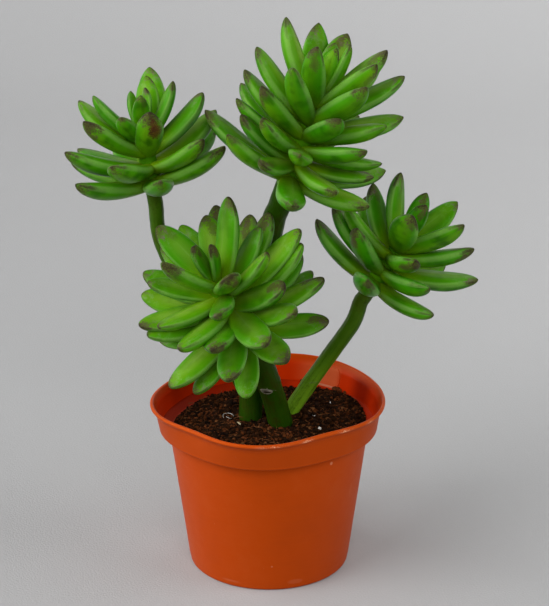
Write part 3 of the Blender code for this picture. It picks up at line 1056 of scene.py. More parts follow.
def curved(knots: Sequence[Vector], steps: int) -> list[Vector]:
    """Points on a smooth curve through some knots.

    Args:
        knots: The places that it passes.
        steps: The number of stretches between its points.

    Returns:
        The points.
    """
    ends = [knots[0] * 2 - knots[1], *knots, knots[-1] * 2 - knots[-2]]
    made = []
    for step in range(steps + 1):
        place = (len(knots) - 1) * step / steps
        leg = min(int(place), len(knots) - 2)
        t = place - leg
        a, b, c, d = ends[leg : leg + 4]
        made.append(0.5 * (2 * b + (c - a) * t + (2 * a - 5 * b + 4 * c - d) * t**2
                           + (3 * b - a - 3 * c + d) * t**3))
    return made


def set_points(obj: bpy.types.Object, places: np.ndarray) -> None:
    """Moves a mesh's points."""
    obj.data.vertices.foreach_set("co", np.asarray(places, dtype=np.float64).ravel())
    obj.data.update()


def set_marks(
    obj: bpy.types.Object, values: np.ndarray, name: Attribute = Attribute.MARKS
) -> None:
    """Stores three values a point as a colour attribute that the materials read.

    Args:
        obj: The object.
        values: The values, one row a point.
        name: The attribute.
    """
    layer = obj.data.color_attributes.new(name.value, "FLOAT_COLOR", "POINT")
    rows = np.ones((len(values), 4))
    rows[:, :3] = values
    layer.data.foreach_set("color", rows.ravel())


def set_blade(obj: bpy.types.Object, values: np.ndarray) -> None:
    """Stores two values a point as the UV map that the materials read.

    Args:
        obj: The object.
        values: The values, one row a point.
    """
    layer = obj.data.uv_layers.new(name=Attribute.BLADE.value)
    corners = np.empty(len(obj.data.loops), dtype=np.int64)
    obj.data.loops.foreach_get("vertex_index", corners)
    layer.data.foreach_set("uv", np.asarray(values)[corners].ravel())


def spread(points: np.ndarray, scale: float, seed: float) -> np.ndarray:
    """Smooth noise from about -1 to 1 at each point.

    Args:
        points: Places, one row each.
        scale: Waves per metre.
        seed: A shift that picks another pattern.

    Returns:
        One value a point.
    """
    shift = Vector((seed, seed * 1.7, -seed))
    return np.array([noise.noise(Vector(p) * scale + shift) for p in points])


@dataclass(frozen=True)
class Ripple:
    """Unevenness of a surface: waves per metre, a seed for the pattern and height in metres."""

    waves: float
    seed: float
    size: float

    def at(self, points: np.ndarray) -> np.ndarray:
        """How far each point is raised."""
        return spread(points, self.waves, self.seed) * self.size


class Part:
    """What every sub-assembly does with a finished piece."""

    @staticmethod
    def finish(
        obj: bpy.types.Object,
        material: bpy.types.Material,
        slot: Slot,
        stands_for: str | None = None,
    ) -> None:
        """Dresses a piece, ties it to the body and reports it.

        Args:
            obj: The piece.
            material: Its material.
            slot: The record's slot that it belongs to.
            stands_for: The CAD node that it replaces, if any.
        """
        obj.data.materials.clear()
        obj.data.materials.append(material)
        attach(obj, BODY)
        if stands_for:
            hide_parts(stands_for)
        faces = len(obj.data.polygons)
        LOG.info("%s: %d faces, %s", obj.name, faces, slot.value)

    @staticmethod
    def swarm(
        name: str, pattern: bpy.types.Object, places: Sequence[Matrix]
    ) -> bpy.types.Object:
        """One mesh of many copies of a small shape.

        Args:
            name: The new object's name.
            pattern: The shape, modelled round the origin.
            places: Where each copy goes, with its turn and size.

        Returns:
            The object.
        """
        shape = mesh_points(pattern)
        count = len(shape)
        points = [shape @ np.array(m.to_3x3()).T + np.array(m.translation) for m in places]
        faces = mesh_faces(pattern)
        every = [tuple(v + count * n for v in face) for n in range(len(places)) for face in faces]
        obj = Bench.mesh(name, np.concatenate(points), every)
        shades = np.random.default_rng(len(places)).random(len(places))
        set_marks(obj, np.repeat(np.repeat(shades, count)[:, None], 3, axis=1))
        return obj


# Pot


@dataclass(frozen=True)
class Press:
    """A place where the soft pot is out of round: turn and spread in degrees, depth at the rim."""

    turn: float
    depth: float
    spread: float


@dataclass
class Pot(Part):
    """The nursery pot: a tapered body, a stepped band and a rolled lip, squeezed out of round."""

    height: float = 0.0895
    rim_radius: float = 0.0601
    base_radius: float = 0.0414
    shoulder_radius: float = 0.0513
    shoulder_height: float = 0.0735
    band_low: Pair = (0.0562, 0.0756)
    band_top: Pair = (0.0578, 0.0858)
    wall: float = 0.0014
    lip_radius: float = 0.0010
    lip_band: Pair = (0.0024, 0.0012)
    flare_drop: float = 0.0022
    flare_corner: Pair = (0.00005, 0.0010)
    ledge_round: float = 0.0012
    ledge_lift: float = 0.0004
    hem_round: float = 0.0009
    hem_drop: float = 0.0002
    base_round: float = 0.0015
    pole_radius: float = 0.002
    floor: float = 0.0016
    corner_rise: float = 0.003
    disc_radius: float = 0.0140
    channel_rise: float = 0.0025
    channel_outer: float = 0.0350
    press_growth: float = 5
    sides: int = 192
    wall_levels: int = 26
    drain_holes: int = 8
    drain_radius: float = 0.0030
    drain_sides: int = 24
    drain_circle: float = 0.0250
    drill_length: float = 0.006
    wobble: Ripple = Ripple(34, 3.1, 0.00022)
    worn_proud: float = 0.0014
    worn: tuple[Pair, ...] = ((-87.5, 5.5), (-69, 3), (-46, 4), (-28, 2))
    presses: tuple[Press, ...] = (
        Press(-58, 0.0078, 26),
        Press(-133, 0.0046, 20),
        Press(-172, -0.0015, 24),
        Press(153, 0.0025, 18),
        Press(66, -0.0030, 27),
    )
    bead: tuple[Pair, ...] = (
        (66, 0.0764), (59, 0.0766), (52, 0.0768), (49, 0.0784), (48.5, 0.0815),
        (49.5, 0.0850), (52, 0.0868), (56, 0.0874), (62, 0.0876),
    )
    bead_radius: float = 0.00032
    finish_style: PlasticFinish = PlasticFinish()

    def body_radius(self, height: float) -> float:
        """Outer radius of the tapered wall below the band."""
        share = height / self.shoulder_height
        return self.base_radius + (self.shoulder_radius - self.base_radius) * share

    @staticmethod
    def polar(points: np.ndarray) -> tuple[np.ndarray, np.ndarray]:
        """Each point's distance from the pot's axis, and its turn in degrees from +X."""
        return np.hypot(points[:, 0], points[:, 1]), np.degrees(np.arctan2(points[:, 1], points[:, 0]))

    def squeezed(self, points: np.ndarray) -> np.ndarray:
        """Moves points in or out where the pot is out of round, most at the rim.

        Args:
            points: Places on a round pot, one row each.

        Returns:
            The places on the squeezed pot.
        """
        reach, turn = self.polar(points)
        share = (np.maximum(points[:, 2], 0) / self.height) ** self.press_growth
        push = np.zeros(len(points))
        for press in self.presses:
            push += press.depth * hump(turn_apart(turn, press.turn), press.spread)
        scale = 1 - push * share / self.rim_radius
        moved = points.copy()
        moved[:, :2] *= np.where(reach > 1e-5, scale, 1)[:, None]
        return moved

    def squeezed_place(self, x: float, y: float, z: float) -> Vector:
        """One place on the round pot, moved to where it is on the squeezed one."""
        return Vector(self.squeezed(np.array([[x, y, z]]))[0])

    def wall_radius(self, height: Values) -> Values:
        """Outer radius of the round pot at some heights, with its band."""
        return np.interp(
            height,
            (0, self.shoulder_height, self.band_low[1], self.band_top[1], self.height),
            (self.base_radius, self.shoulder_radius, self.band_low[0], self.band_top[0],
             self.rim_radius),
        )

    @staticmethod
    def arc(centre: Pair, radius: float, start: float, stop: float, steps: int) -> list[Pair]:
        """Points of an arc in the (radius, height) plane, between two angles in degrees."""
        turns = [math.radians(start + (stop - start) * i / steps) for i in range(steps + 1)]
        return [(centre[0] + radius * math.cos(a), centre[1] + radius * math.sin(a)) for a in turns]

    def wall_heights(self) -> list[float]:
        """Heights of the rings up the wall.

        Returns:
            The heights, from the floor's corner to the ledge.
        """
        low = self.floor + self.corner_rise
        rise = self.shoulder_height - low
        return [low + rise * i / self.wall_levels for i in range(self.wall_levels + 1)]

    def outline(self) -> list[Pair]:
        """The section: inner floor, inner wall, lip, outer wall and underside.

        Returns:
            The section's points, each a radius and a height.
        """
        slope = self.wall + self.channel_rise
        raised = self.floor + self.channel_rise
        inside = [
            (self.pole_radius, self.floor),
            (self.disc_radius, self.floor),
            (self.disc_radius + slope, raised),
            (self.channel_outer - slope, raised),
            (self.channel_outer, self.floor),
            (self.body_radius(self.floor) - self.wall - self.floor, self.floor),
        ]
        inner_wall = [(self.body_radius(z) - self.wall, z) for z in self.wall_heights()]
        centre = (
            self.band_low[0] - self.wall - self.ledge_round,
            self.band_low[1] + self.wall / 2 + self.ledge_lift,
        )
        ledge = self.arc(centre, self.ledge_round, -60, 0, 4)
        inner_band = self._between(ledge[-1], (self.band_top[0] - self.wall, self.band_top[1]), 7)
        centre = (self.rim_radius - self.lip_radius, self.height - self.lip_radius)
        lip = self.arc(centre, self.lip_radius, 170, -40, 12)
        flare = self._flare(lip[-1])
        outer_band = self._between(flare[-1], self.band_low, 8)
        centre = (self.band_low[0] - self.hem_round, self.band_low[1] - self.hem_drop)
        hem = self.arc(centre, self.hem_round, -5, -62, 4)
        outer_wall = [(self.body_radius(z), z) for z in reversed(self.wall_heights())]
        centre = (self.base_radius - self.base_round, self.base_round)
        foot = self.arc(centre, self.base_round, 0, -90, 6)
        underside = [
            (self.channel_outer, 0),
            (self.channel_outer - slope, self.channel_rise),
            (self.disc_radius + slope, self.channel_rise),
            (self.disc_radius, 0),
            (self.pole_radius, 0),
        ]
        return [
            *inside, *inner_wall, *ledge, *inner_band, *lip, *flare, *outer_band, *hem,
            *outer_wall, *foot, *underside,
        ]

    def _flare(self, start: Pair) -> list[Pair]:
        """The hollow curve from the lip down to the band's straight side.

        Args:
            start: The last point of the lip.

        Returns:
            The curve's points after it.
        """
        drop = self.flare_drop
        slope = (self.band_top[0] - self.band_low[0]) / (self.band_top[1] - self.band_low[1])
        corner = tuple(a + b for a, b in zip(self.band_top, self.flare_corner))
        stop = (self.band_top[0] - slope * drop, self.band_top[1] - drop)
        made = []
        for step in range(1, 8):
            t = step / 7
            made.append(tuple(
                (1 - t) ** 2 * a + 2 * t * (1 - t) * b + t**2 * c
                for a, b, c in zip(start, corner, stop)
            ))
        return made

    @staticmethod
    def _between(start: Pair, stop: Pair, steps: int) -> list[Pair]:
        """Evenly spaced points between two, without the first."""
        return [
            (start[0] + (stop[0] - start[0]) * i / steps, start[1] + (stop[1] - start[1]) * i / steps)
            for i in range(1, steps + 1)
        ]

    def drill(self, pot: bpy.types.Object) -> None:
        """Cuts the ring of drainage holes through the raised channel of the floor.

        Args:
            pot: The pot.
        """
        for number in range(self.drain_holes):
            turn = math.tau * number / self.drain_holes
            place = (self.drain_circle * math.cos(turn), self.drain_circle * math.sin(turn))
            Bench.clear()
            bpy.ops.mesh.primitive_cylinder_add(
                vertices=self.drain_sides, radius=self.drain_radius, depth=self.drill_length,
                location=(*place, self.channel_rise + self.floor / 2),
            )
            drill = bpy.context.active_object
            Bench.modify(pot, "BOOLEAN", operation="DIFFERENCE", object=drill, solver="EXACT")
            Bench.discard(drill)

    def marks(self, points: np.ndarray) -> np.ndarray:
        """What is inside, what is lip and where the plastic is rubbed.

        Args:
            points: Places on the round pot, one row each.

        Returns:
            Three shares a point.
        """
        reach, turn = self.polar(points)
        inner = ((self.wall_radius(points[:, 2]) - reach) > self.wall * 0.75).astype(float)
        depth, fade = self.lip_band
        lip = np.clip((points[:, 2] - self.height + depth) / fade, 0, 1)
        rubbed = np.zeros(len(points))
        below = self.height - self.lip_radius * 1.2 - points[:, 2]
        crest = hump(below, self.lip_radius * 0.6) * (reach > self.band_top[0] + self.worn_proud)
        for middle, width in self.worn:
            rubbed += hump(turn_apart(turn, middle), width) * crest
        return np.stack([inner, lip, np.clip(rubbed, 0, 1)], 1)

    def inner_point(self, turn: float, height: float, proud: float) -> Vector:
        """A place on the inner wall.

        Args:
            turn: Degrees from +X.
            height: Metres above the ground.
            proud: How far it stands off the wall, in metres.

        Returns:
            The place, on the squeezed pot.
        """
        radius = float(self.wall_radius(height)) - (self.wall + proud)
        angle = math.radians(turn)
        return self.squeezed_place(radius * math.cos(angle), radius * math.sin(angle), height)

    def build_bead(self, material: bpy.types.Material) -> None:
        """The thin raised line that edges a moulded panel on the inner wall.

        Args:
            material: The pot's material.
        """
        knots = [self.inner_point(turn, height, 0.0) for turn, height in self.bead]
        route = curved(knots, 48)
        bead = Bench.tube("mould_bead", route, [self.bead_radius] * len(route), 3)
        set_marks(bead, np.tile((1.0, 0.35, 0.0), (len(bead.data.vertices), 1)))
        Bench.smooth(bead, 60)
        self.finish(bead, material, Slot.POT)

    def build(self) -> None:
        """Models the pot and the raised line on its inner wall."""
        material = self.finish_style.material()
        self.build_bead(material)
        pot = Bench.lathe("pot_shell", self.outline(), self.sides)
        self.drill(pot)
        points = mesh_points(pot)
        marks = self.marks(points)
        points = self.squeezed(points)
        wobble = self.wobble.at(points) * (points[:, 2] / self.height)
        reach = np.maximum(np.hypot(points[:, 0], points[:, 1]), 1e-6)
        points[:, :2] *= (1 + wobble / reach)[:, None]
        set_points(pot, points)
        set_marks(pot, marks)
        Bench.smooth(pot, 42)
        self.finish(pot, material, Slot.POT, "pot")


# Soil


@dataclass(frozen=True)
class Litter:
    """One kind of small piece on the bed: how many are scattered, and their sizes in metres."""

    name: str
    count: int
    sizes: Pair


@dataclass
class Peat(Part):
    """The peat: a lumpy bed, loose crumbs and fibres on it, and a few pale grains.

    The feet are where each stem meets the bed, with its radius there.
    """

    pot: Pot
    feet: Sequence[tuple[Vector, float]]
    reach: float = 0.0495
    spill: float = 0.0047
    spill_turn: float = 40
    spill_spread: float = 30
    ledge_slope: float = 0.502
    ledge_cover: float = 0.0003
    edge_height: float = 0.0740
    middle_height: float = 0.0752
    bottom: float = 0.0046
    bottom_inset: float = 0.004
    clearance: float = 0.0004
    ring_heights: Triple = (0.009, 0.030, 0.055)
    edge_drops: Pair = (0.0008, 0.0003)
    lumps: float = 0.0010
    ripples: tuple[Ripple, ...] = (Ripple(420, 5.0, 0.0005), Ripple(1100, 2.0, 0.0003))
    rings: int = 46
    sides: int = 160
    dust: Litter = Litter("peat_dust", 5600, (0.0004, 0.0012))
    crumbs: Litter = Litter("peat_crumbs", 3300, (0.0009, 0.0034))
    bark: Litter = Litter("bark_bits", 900, (0.0005, 0.0022))
    fibres: Litter = Litter("peat_fibres", 420, (0.0018, 0.0060))
    grains: Litter = Litter("pale_grains", 9, (0.0003, 0.0008))
    size_power: float = 2.2
    lifts: Pair = (-0.15, 0.42)
    depths: Pair = (0.45, 1)
    thicknesses: Pair = (0.35, 0.9)
    tips: Pair = (-0.8, 0.8)
    perlite: tuple[Triple, ...] = (
        (0.0261, -0.0060, 0.0020), (0.0272, -0.0080, 0.0013), (0.0230, 0.0122, 0.0012),
        (0.0236, 0.0108, 0.0009), (0.0322, 0.0262, 0.0012),
    )
    husk: tuple[Pair, ...] = ((-0.0165, -0.0016), (-0.0152, -0.0026), (-0.0138, -0.0036))
    husk_radius: float = 0.0005
    husk_lift: float = 0.0009
    thread_radius: float = 0.00010
    thread: tuple[Triple, ...] = (
        (-0.0236, 0.0060, 0.0006), (-0.0238, 0.0098, 0.0012), (-0.0214, 0.0118, 0.0022),
        (-0.0189, 0.0096, 0.0018), (-0.0186, 0.0062, 0.0010), (-0.0204, 0.0030, 0.0014),
        (-0.0222, 0.0046, 0.0018),
    )
    stray: tuple[Triple, ...] = (
        (50, 0.0768, 0.0030), (48, 0.0772, 0.0024), (46.5, 0.0766, 0.0022), (51.5, 0.0764, 0.0022),
        (43, 0.0766, 0.0020), (70, 0.0772, 0.0022), (72, 0.0768, 0.0018), (68, 0.0768, 0.0016),
    )
    seed: int = 11

    def edge(self, turn: float) -> Pair:
        """Where the peat ends. At the back right it lies up over the pot's inner ledge.

        Args:
            turn: Radians from +X.

        Returns:
            How far the peat reaches there, and its height.
        """
        off = turn_apart(math.degrees(turn), self.spill_turn)
        reach = self.reach + self.spill * hump(off, self.spill_spread)
        inner = self.pot.shoulder_radius - self.pot.wall
        ledge = self.pot.shoulder_height + max(0, reach - inner) * self.ledge_slope
        return reach, max(self.edge_height, ledge + self.ledge_cover)

    def surface(self, x: float, y: float) -> float:
        """Height of the bed.

        Args:
            x: The place along X, in metres.
            y: The place along Y, in metres.

        Returns:
            The height in metres.
        """
        reach, edge_height = self.edge(math.atan2(y, x))
        share = min(1.0, math.hypot(x, y) / reach)
        level = edge_height + (self.middle_height - edge_height) * (1 - share**3)
        waves = (
            math.sin(310 * x + 1.1) * math.cos(260 * y)
            + 0.6 * math.sin(520 * y + 2.3) * math.cos(430 * x + 0.7)
            + 0.4 * math.sin(780 * (x + y))
        )
        return level + self.lumps * waves * min(1, 4 * (1 - share))

    def bed(self) -> bpy.types.Object:
        """The body of peat, down to the pot's floor.

        Returns:
            The bed.
        """
        radius = self.pot.shoulder_radius - self.pot.wall - self.clearance
        low = self.pot.body_radius(self.bottom) - self.pot.wall - self.bottom_inset
        outline = [(low, self.bottom)]
        for height in self.ring_heights:
            outline.append((self.pot.body_radius(height) - self.pot.wall - self.clearance, height))
        outline += [(radius, self.edge_height - drop) for drop in self.edge_drops]
        outline += [
            (self.reach * (1 - ring / self.rings), self.edge_height + 1e-5 * ring)
            for ring in range(self.rings)
        ]
        bed = Bench.lathe("peat_bed", outline, self.sides)
        points = mesh_points(bed)
        top = points[:, 2] > self.edge_height - 1e-6
        rough = sum(ripple.at(points) for ripple in self.ripples)
        for index in np.nonzero(top)[0]:
            x, y, _ = points[index]
            grown = self.edge(math.atan2(y, x))[0] / self.reach
            x, y = x * grown, y * grown
            points[index] = x, y, self.surface(x, y) + rough[index]
        set_points(bed, self.pot.squeezed(points))
        Bench.smooth(bed, 80)
        return bed

    def crumb(self, name: str, ragged: float) -> bpy.types.Object:
        """A rough crumb of about 1 m, to be shrunk where it is placed.

        Args:
            name: Its name.
            ragged: How far its points move in or out, as a share.

        Returns:
            The crumb.
        """
        Bench.clear()
        bpy.ops.mesh.primitive_ico_sphere_add(subdivisions=1, radius=0.5)
        crumb = bpy.context.active_object
        crumb.name = name
        points = mesh_points(crumb)
        points *= (1 + ragged * spread(points, 2.3, 8.0))[:, None]
        set_points(crumb, points)
        return crumb

    def blocked(self, x: float, y: float) -> bool:
        """True where a stem stands."""
        return any(
            math.hypot(x - foot.x, y - foot.y) < radius + self.clearance
            for foot, radius in self.feet
        )

    def scattered(self, draw: random.Random, kind: Litter) -> list[Matrix]:
        """Random places on the bed with random turns and sizes.

        Args:
            draw: The source of random numbers.
            kind: What is scattered.

        Returns:
            One matrix a place.
        """
        least, most = kind.sizes
        places = []
        while len(places) < kind.count:
            share = math.sqrt(draw.random())
            turn = draw.uniform(0, math.tau)
            radius = self.edge(turn)[0] * share
            x, y = radius * math.cos(turn), radius * math.sin(turn)
            size = least + (most - least) * draw.random() ** self.size_power
            lift = draw.uniform(*self.lifts) * size
            squash = Matrix.Diagonal((1, draw.uniform(*self.depths), draw.uniform(*self.thicknesses), 1))
            tip = Matrix.Rotation(draw.uniform(0, math.tau), 4, "Z")
            tip = tip @ Matrix.Rotation(draw.uniform(*self.tips), 4, "X")
            if self.blocked(x, y):
                continue
            spot = self.pot.squeezed_place(x, y, self.surface(x, y) + lift)
            places.append(Matrix.Translation(spot) @ tip @ Matrix.Scale(size, 4) @ squash)
        return places

    def fibre(self) -> bpy.types.Object:
        """A thin bent fibre of about 1 m, to be shrunk where it is placed."""
        route = [Vector((t - 0.5, 0.18 * math.sin(2.6 * t), 0.10 * math.sin(4 * t))) for t in
                 (0, 0.25, 0.5, 0.75, 1)]
        return Bench.tube("fibre_pattern", route, [0.022, 0.035, 0.04, 0.035, 0.02], 0)

    def build(self) -> None:
        """Models the bed and what lies on it."""
        draw = random.Random(self.seed)
        self.finish(self.bed(), PeatFinish().material(), Slot.PEAT, "soil")
        coarse = self.crumb("crumb_coarse", 0.75)
        fine = self.crumb("crumb_fine", 0.5)
        fibre = self.fibre()
        crumbly = PeatFinish("peat_crumbs", scale=900, by_piece=True).material()
        bark = SpeckFinish("bark_bits", (0.026, 0.008, 0.002), (0.150, 0.042, 0.012)).material()
        strands = SpeckFinish("fibre_strands", (0.050, 0.016, 0.004), (0.210, 0.080, 0.028)).material()
        white = SpeckFinish("pale_grains", (0.50, 0.47, 0.42), (0.80, 0.78, 0.74), 0.7).material()
        for kind, pattern, chosen, material in (
            (self.dust, fine, [], crumbly),
            (self.crumbs, coarse, [], crumbly),
            (self.bark, coarse, self.strays(), bark),
            (self.fibres, fibre, [], strands),
            (self.grains, fine, self.chosen(), white),
        ):
            places = self.scattered(draw, kind) + chosen
            self.finish(self.swarm(kind.name, pattern, places), material, Slot.PEAT)
        self.build_thread(white)
        self.build_husk()
        for pattern in (coarse, fine, fibre):
            Bench.discard(pattern)

    def strays(self) -> list[Matrix]:
        """Crumbs that cling to the inner wall above the bed."""
        return [
            Matrix.Translation(self.pot.inner_point(turn, height, size * 0.4)) @ Matrix.Scale(size, 4)
            for turn, height, size in self.stray
        ]

    def chosen(self) -> list[Matrix]:
        """The larger pale grains, each at its own place.

        Returns:
            One matrix a grain.
        """
        made = []
        for x, y, size in self.perlite:
            spot = self.pot.squeezed_place(x, y, self.surface(x, y) + 0.3 * size)
            made.append(Matrix.Translation(spot) @ Matrix.Scale(size, 4))
        return made

    def build_thread(self, material: bpy.types.Material) -> None:
        """A curly pale thread that lies on the bed.

        Args:
            material: The pale grains' material.
        """
        knots = [Vector((x, y, self.surface(x, y) + lift)) for x, y, lift in self.thread]
        route = curved(knots, 40)
        strand = Bench.tube("pale_thread", route, [self.thread_radius] * len(route), 1)
        Bench.smooth(strand, 60)
        self.finish(strand, material, Slot.PEAT)

    def build_husk(self) -> None:
        """A pale husk, widest in its middle, that lies on the bed."""
        knots = [Vector((x, y, self.surface(x, y) + self.husk_lift)) for x, y in self.husk]
        radii = [self.husk_radius * math.sin(math.pi * (i + 0.6) / 9.2) for i in range(9)]
        husk = Bench.tube("pale_husk", curved(knots, 8), radii, 1)
        Bench.smooth(husk, 60)
        straw = SpeckFinish("pale_husk", (0.36, 0.30, 0.16), (0.62, 0.56, 0.36), 0.6).material()
        self.finish(husk, straw, Slot.PEAT)


# Stems and heads


@dataclass(frozen=True)
class Whorl:
    """One ring of leaves: turn of the first from the front and lean off the axis, in degrees.

    The length runs from the axis to the tip, the height is a share of the core, and the seed
    sets each leaf's small departure in turn, lean, length and roll.
    """

    count: int
    first: float
    lean: float
    length: float
    height: float
    seed: int


@dataclass(frozen=True)
class Scar:
    """A leaf scar on a stem: height in metres, turn from the front in degrees, size in metres."""

    height: float
    turn: float
    wide: float
    tall: float
    paleness: float = 0.3


@dataclass
class Stem(Part):
    """A bare stem, from under the soil into the head that it carries."""

    name: str
    route: tuple[Point, ...]
    foot: Point
    crown: Point
    low_radius: float
    top_radius: float
    scars: tuple[Scar, ...] = ()
    # How green the stem is low and high; on some stems this also paints highlight and shade.
    green_and_lighting_low: float = 0.3
    green_and_lighting_high: float = 0.9
    green_and_lighting_heights: tuple[float, float] = (0.07, 0.20)
    steps: int = 160
    fineness: int = 14
    inside: float = 0.010
    neck_length: float = 0.0045
    neck_drop: float = 0.0048
    ripples: tuple[Ripple, ...] = (Ripple(70, 4.0, 0.00035), Ripple(260, 9.0, 0.00012))
    scar_rise: float = 0.0004
    scar_pit: float = 0.0003

    @property
    def axis(self) -> Vector:
        """Unit vector from the head's foot to its crown."""
        return (Vector(self.crown) - Vector(self.foot)).normalized()

    def line(self) -> list[Vector]:
        """Points on a smooth curve through the route's own points and into the head.

        Returns:
            The points, from the buried end up.
        """
        neck = Vector(self.foot) - self.axis * self.neck_drop
        knots = [Vector(p) for p in self.route] + [neck - self.axis * self.neck_length, neck]
        knots += [Vector(self.foot) + self.axis * self.inside]
        return curved(knots, self.steps)

    def at_soil(self, height: float) -> tuple[Vector, float]:
        """Where the stem's middle passes a height, and its radius there."""
        return min(self.line(), key=lambda p: abs(p.z - height)), self.low_radius

    def build(self, material: bpy.types.Material) -> None:
        """Models the stem with its scars.

        Args:
            material: The stems' material.
        """
        route = self.line()
        share = [i / self.steps for i in range(self.steps + 1)]
        radii = [self.low_radius + (self.top_radius - self.low_radius) * s for s in share]
        stem = Bench.tube(f"stem_{self.name}_skin", route, radii, self.fineness)
        points = mesh_points(stem)
        spine = np.array(route)
        nearest = np.argmin(((points[:, None] - spine[None]) ** 2).sum(2), axis=1)
        outward = points - spine[nearest]
        length = np.maximum(np.linalg.norm(outward, axis=1), 1e-6)
        outward /= length[:, None]
        around = np.arctan2(outward[:, 0], -outward[:, 1])
        lift = sum(ripple.at(points) for ripple in self.ripples)
        scarred = np.tile((3.0, 3.0, 0.0), (len(points), 1))
        for scar in self.scars:
            off = turn_apart(around, math.radians(scar.turn), math.tau)
            wide = off * length / (scar.wide / 2)
            tall = (points[:, 2] - scar.height) / (scar.tall / 2)
            gap = np.sqrt(wide**2 + tall**2)
            lift += self.scar_rise * hump(gap - 0.8, 0.4) - self.scar_pit * hump(gap, 0.45)
            near = gap < 4
            scarred[near] = np.stack([wide, tall, np.full(len(points), scar.paleness)], 1)[near]
        sides = (length > self.low_radius * 0.5).astype(float)
        set_points(stem, points + outward * (lift * sides)[:, None])
        # The green share up the stem, which on some stems also paints highlight and shade.
        green = np.interp(points[:, 2], self.green_and_lighting_heights, (self.green_and_lighting_low, self.green_and_lighting_high))
        set_marks(stem, np.repeat(green[:, None], 3, axis=1))
        set_marks(stem, scarred, Attribute.SCAR)
        set_blade(stem, np.stack([around / math.tau + 0.5, nearest / self.steps], 1))
        Bench.smooth(stem, 60)
        self.finish(stem, material, Slot.STEM, f"stem_{self.name}")


@dataclass(frozen=True)
class LeafPlace:
    """Where one leaf sits on its head, in radians and metres, and how it is marked."""

    height: float
    turn: float
    lean: float
    length: float
    roll: float
    brushed: float
    tone: float
    seed: float


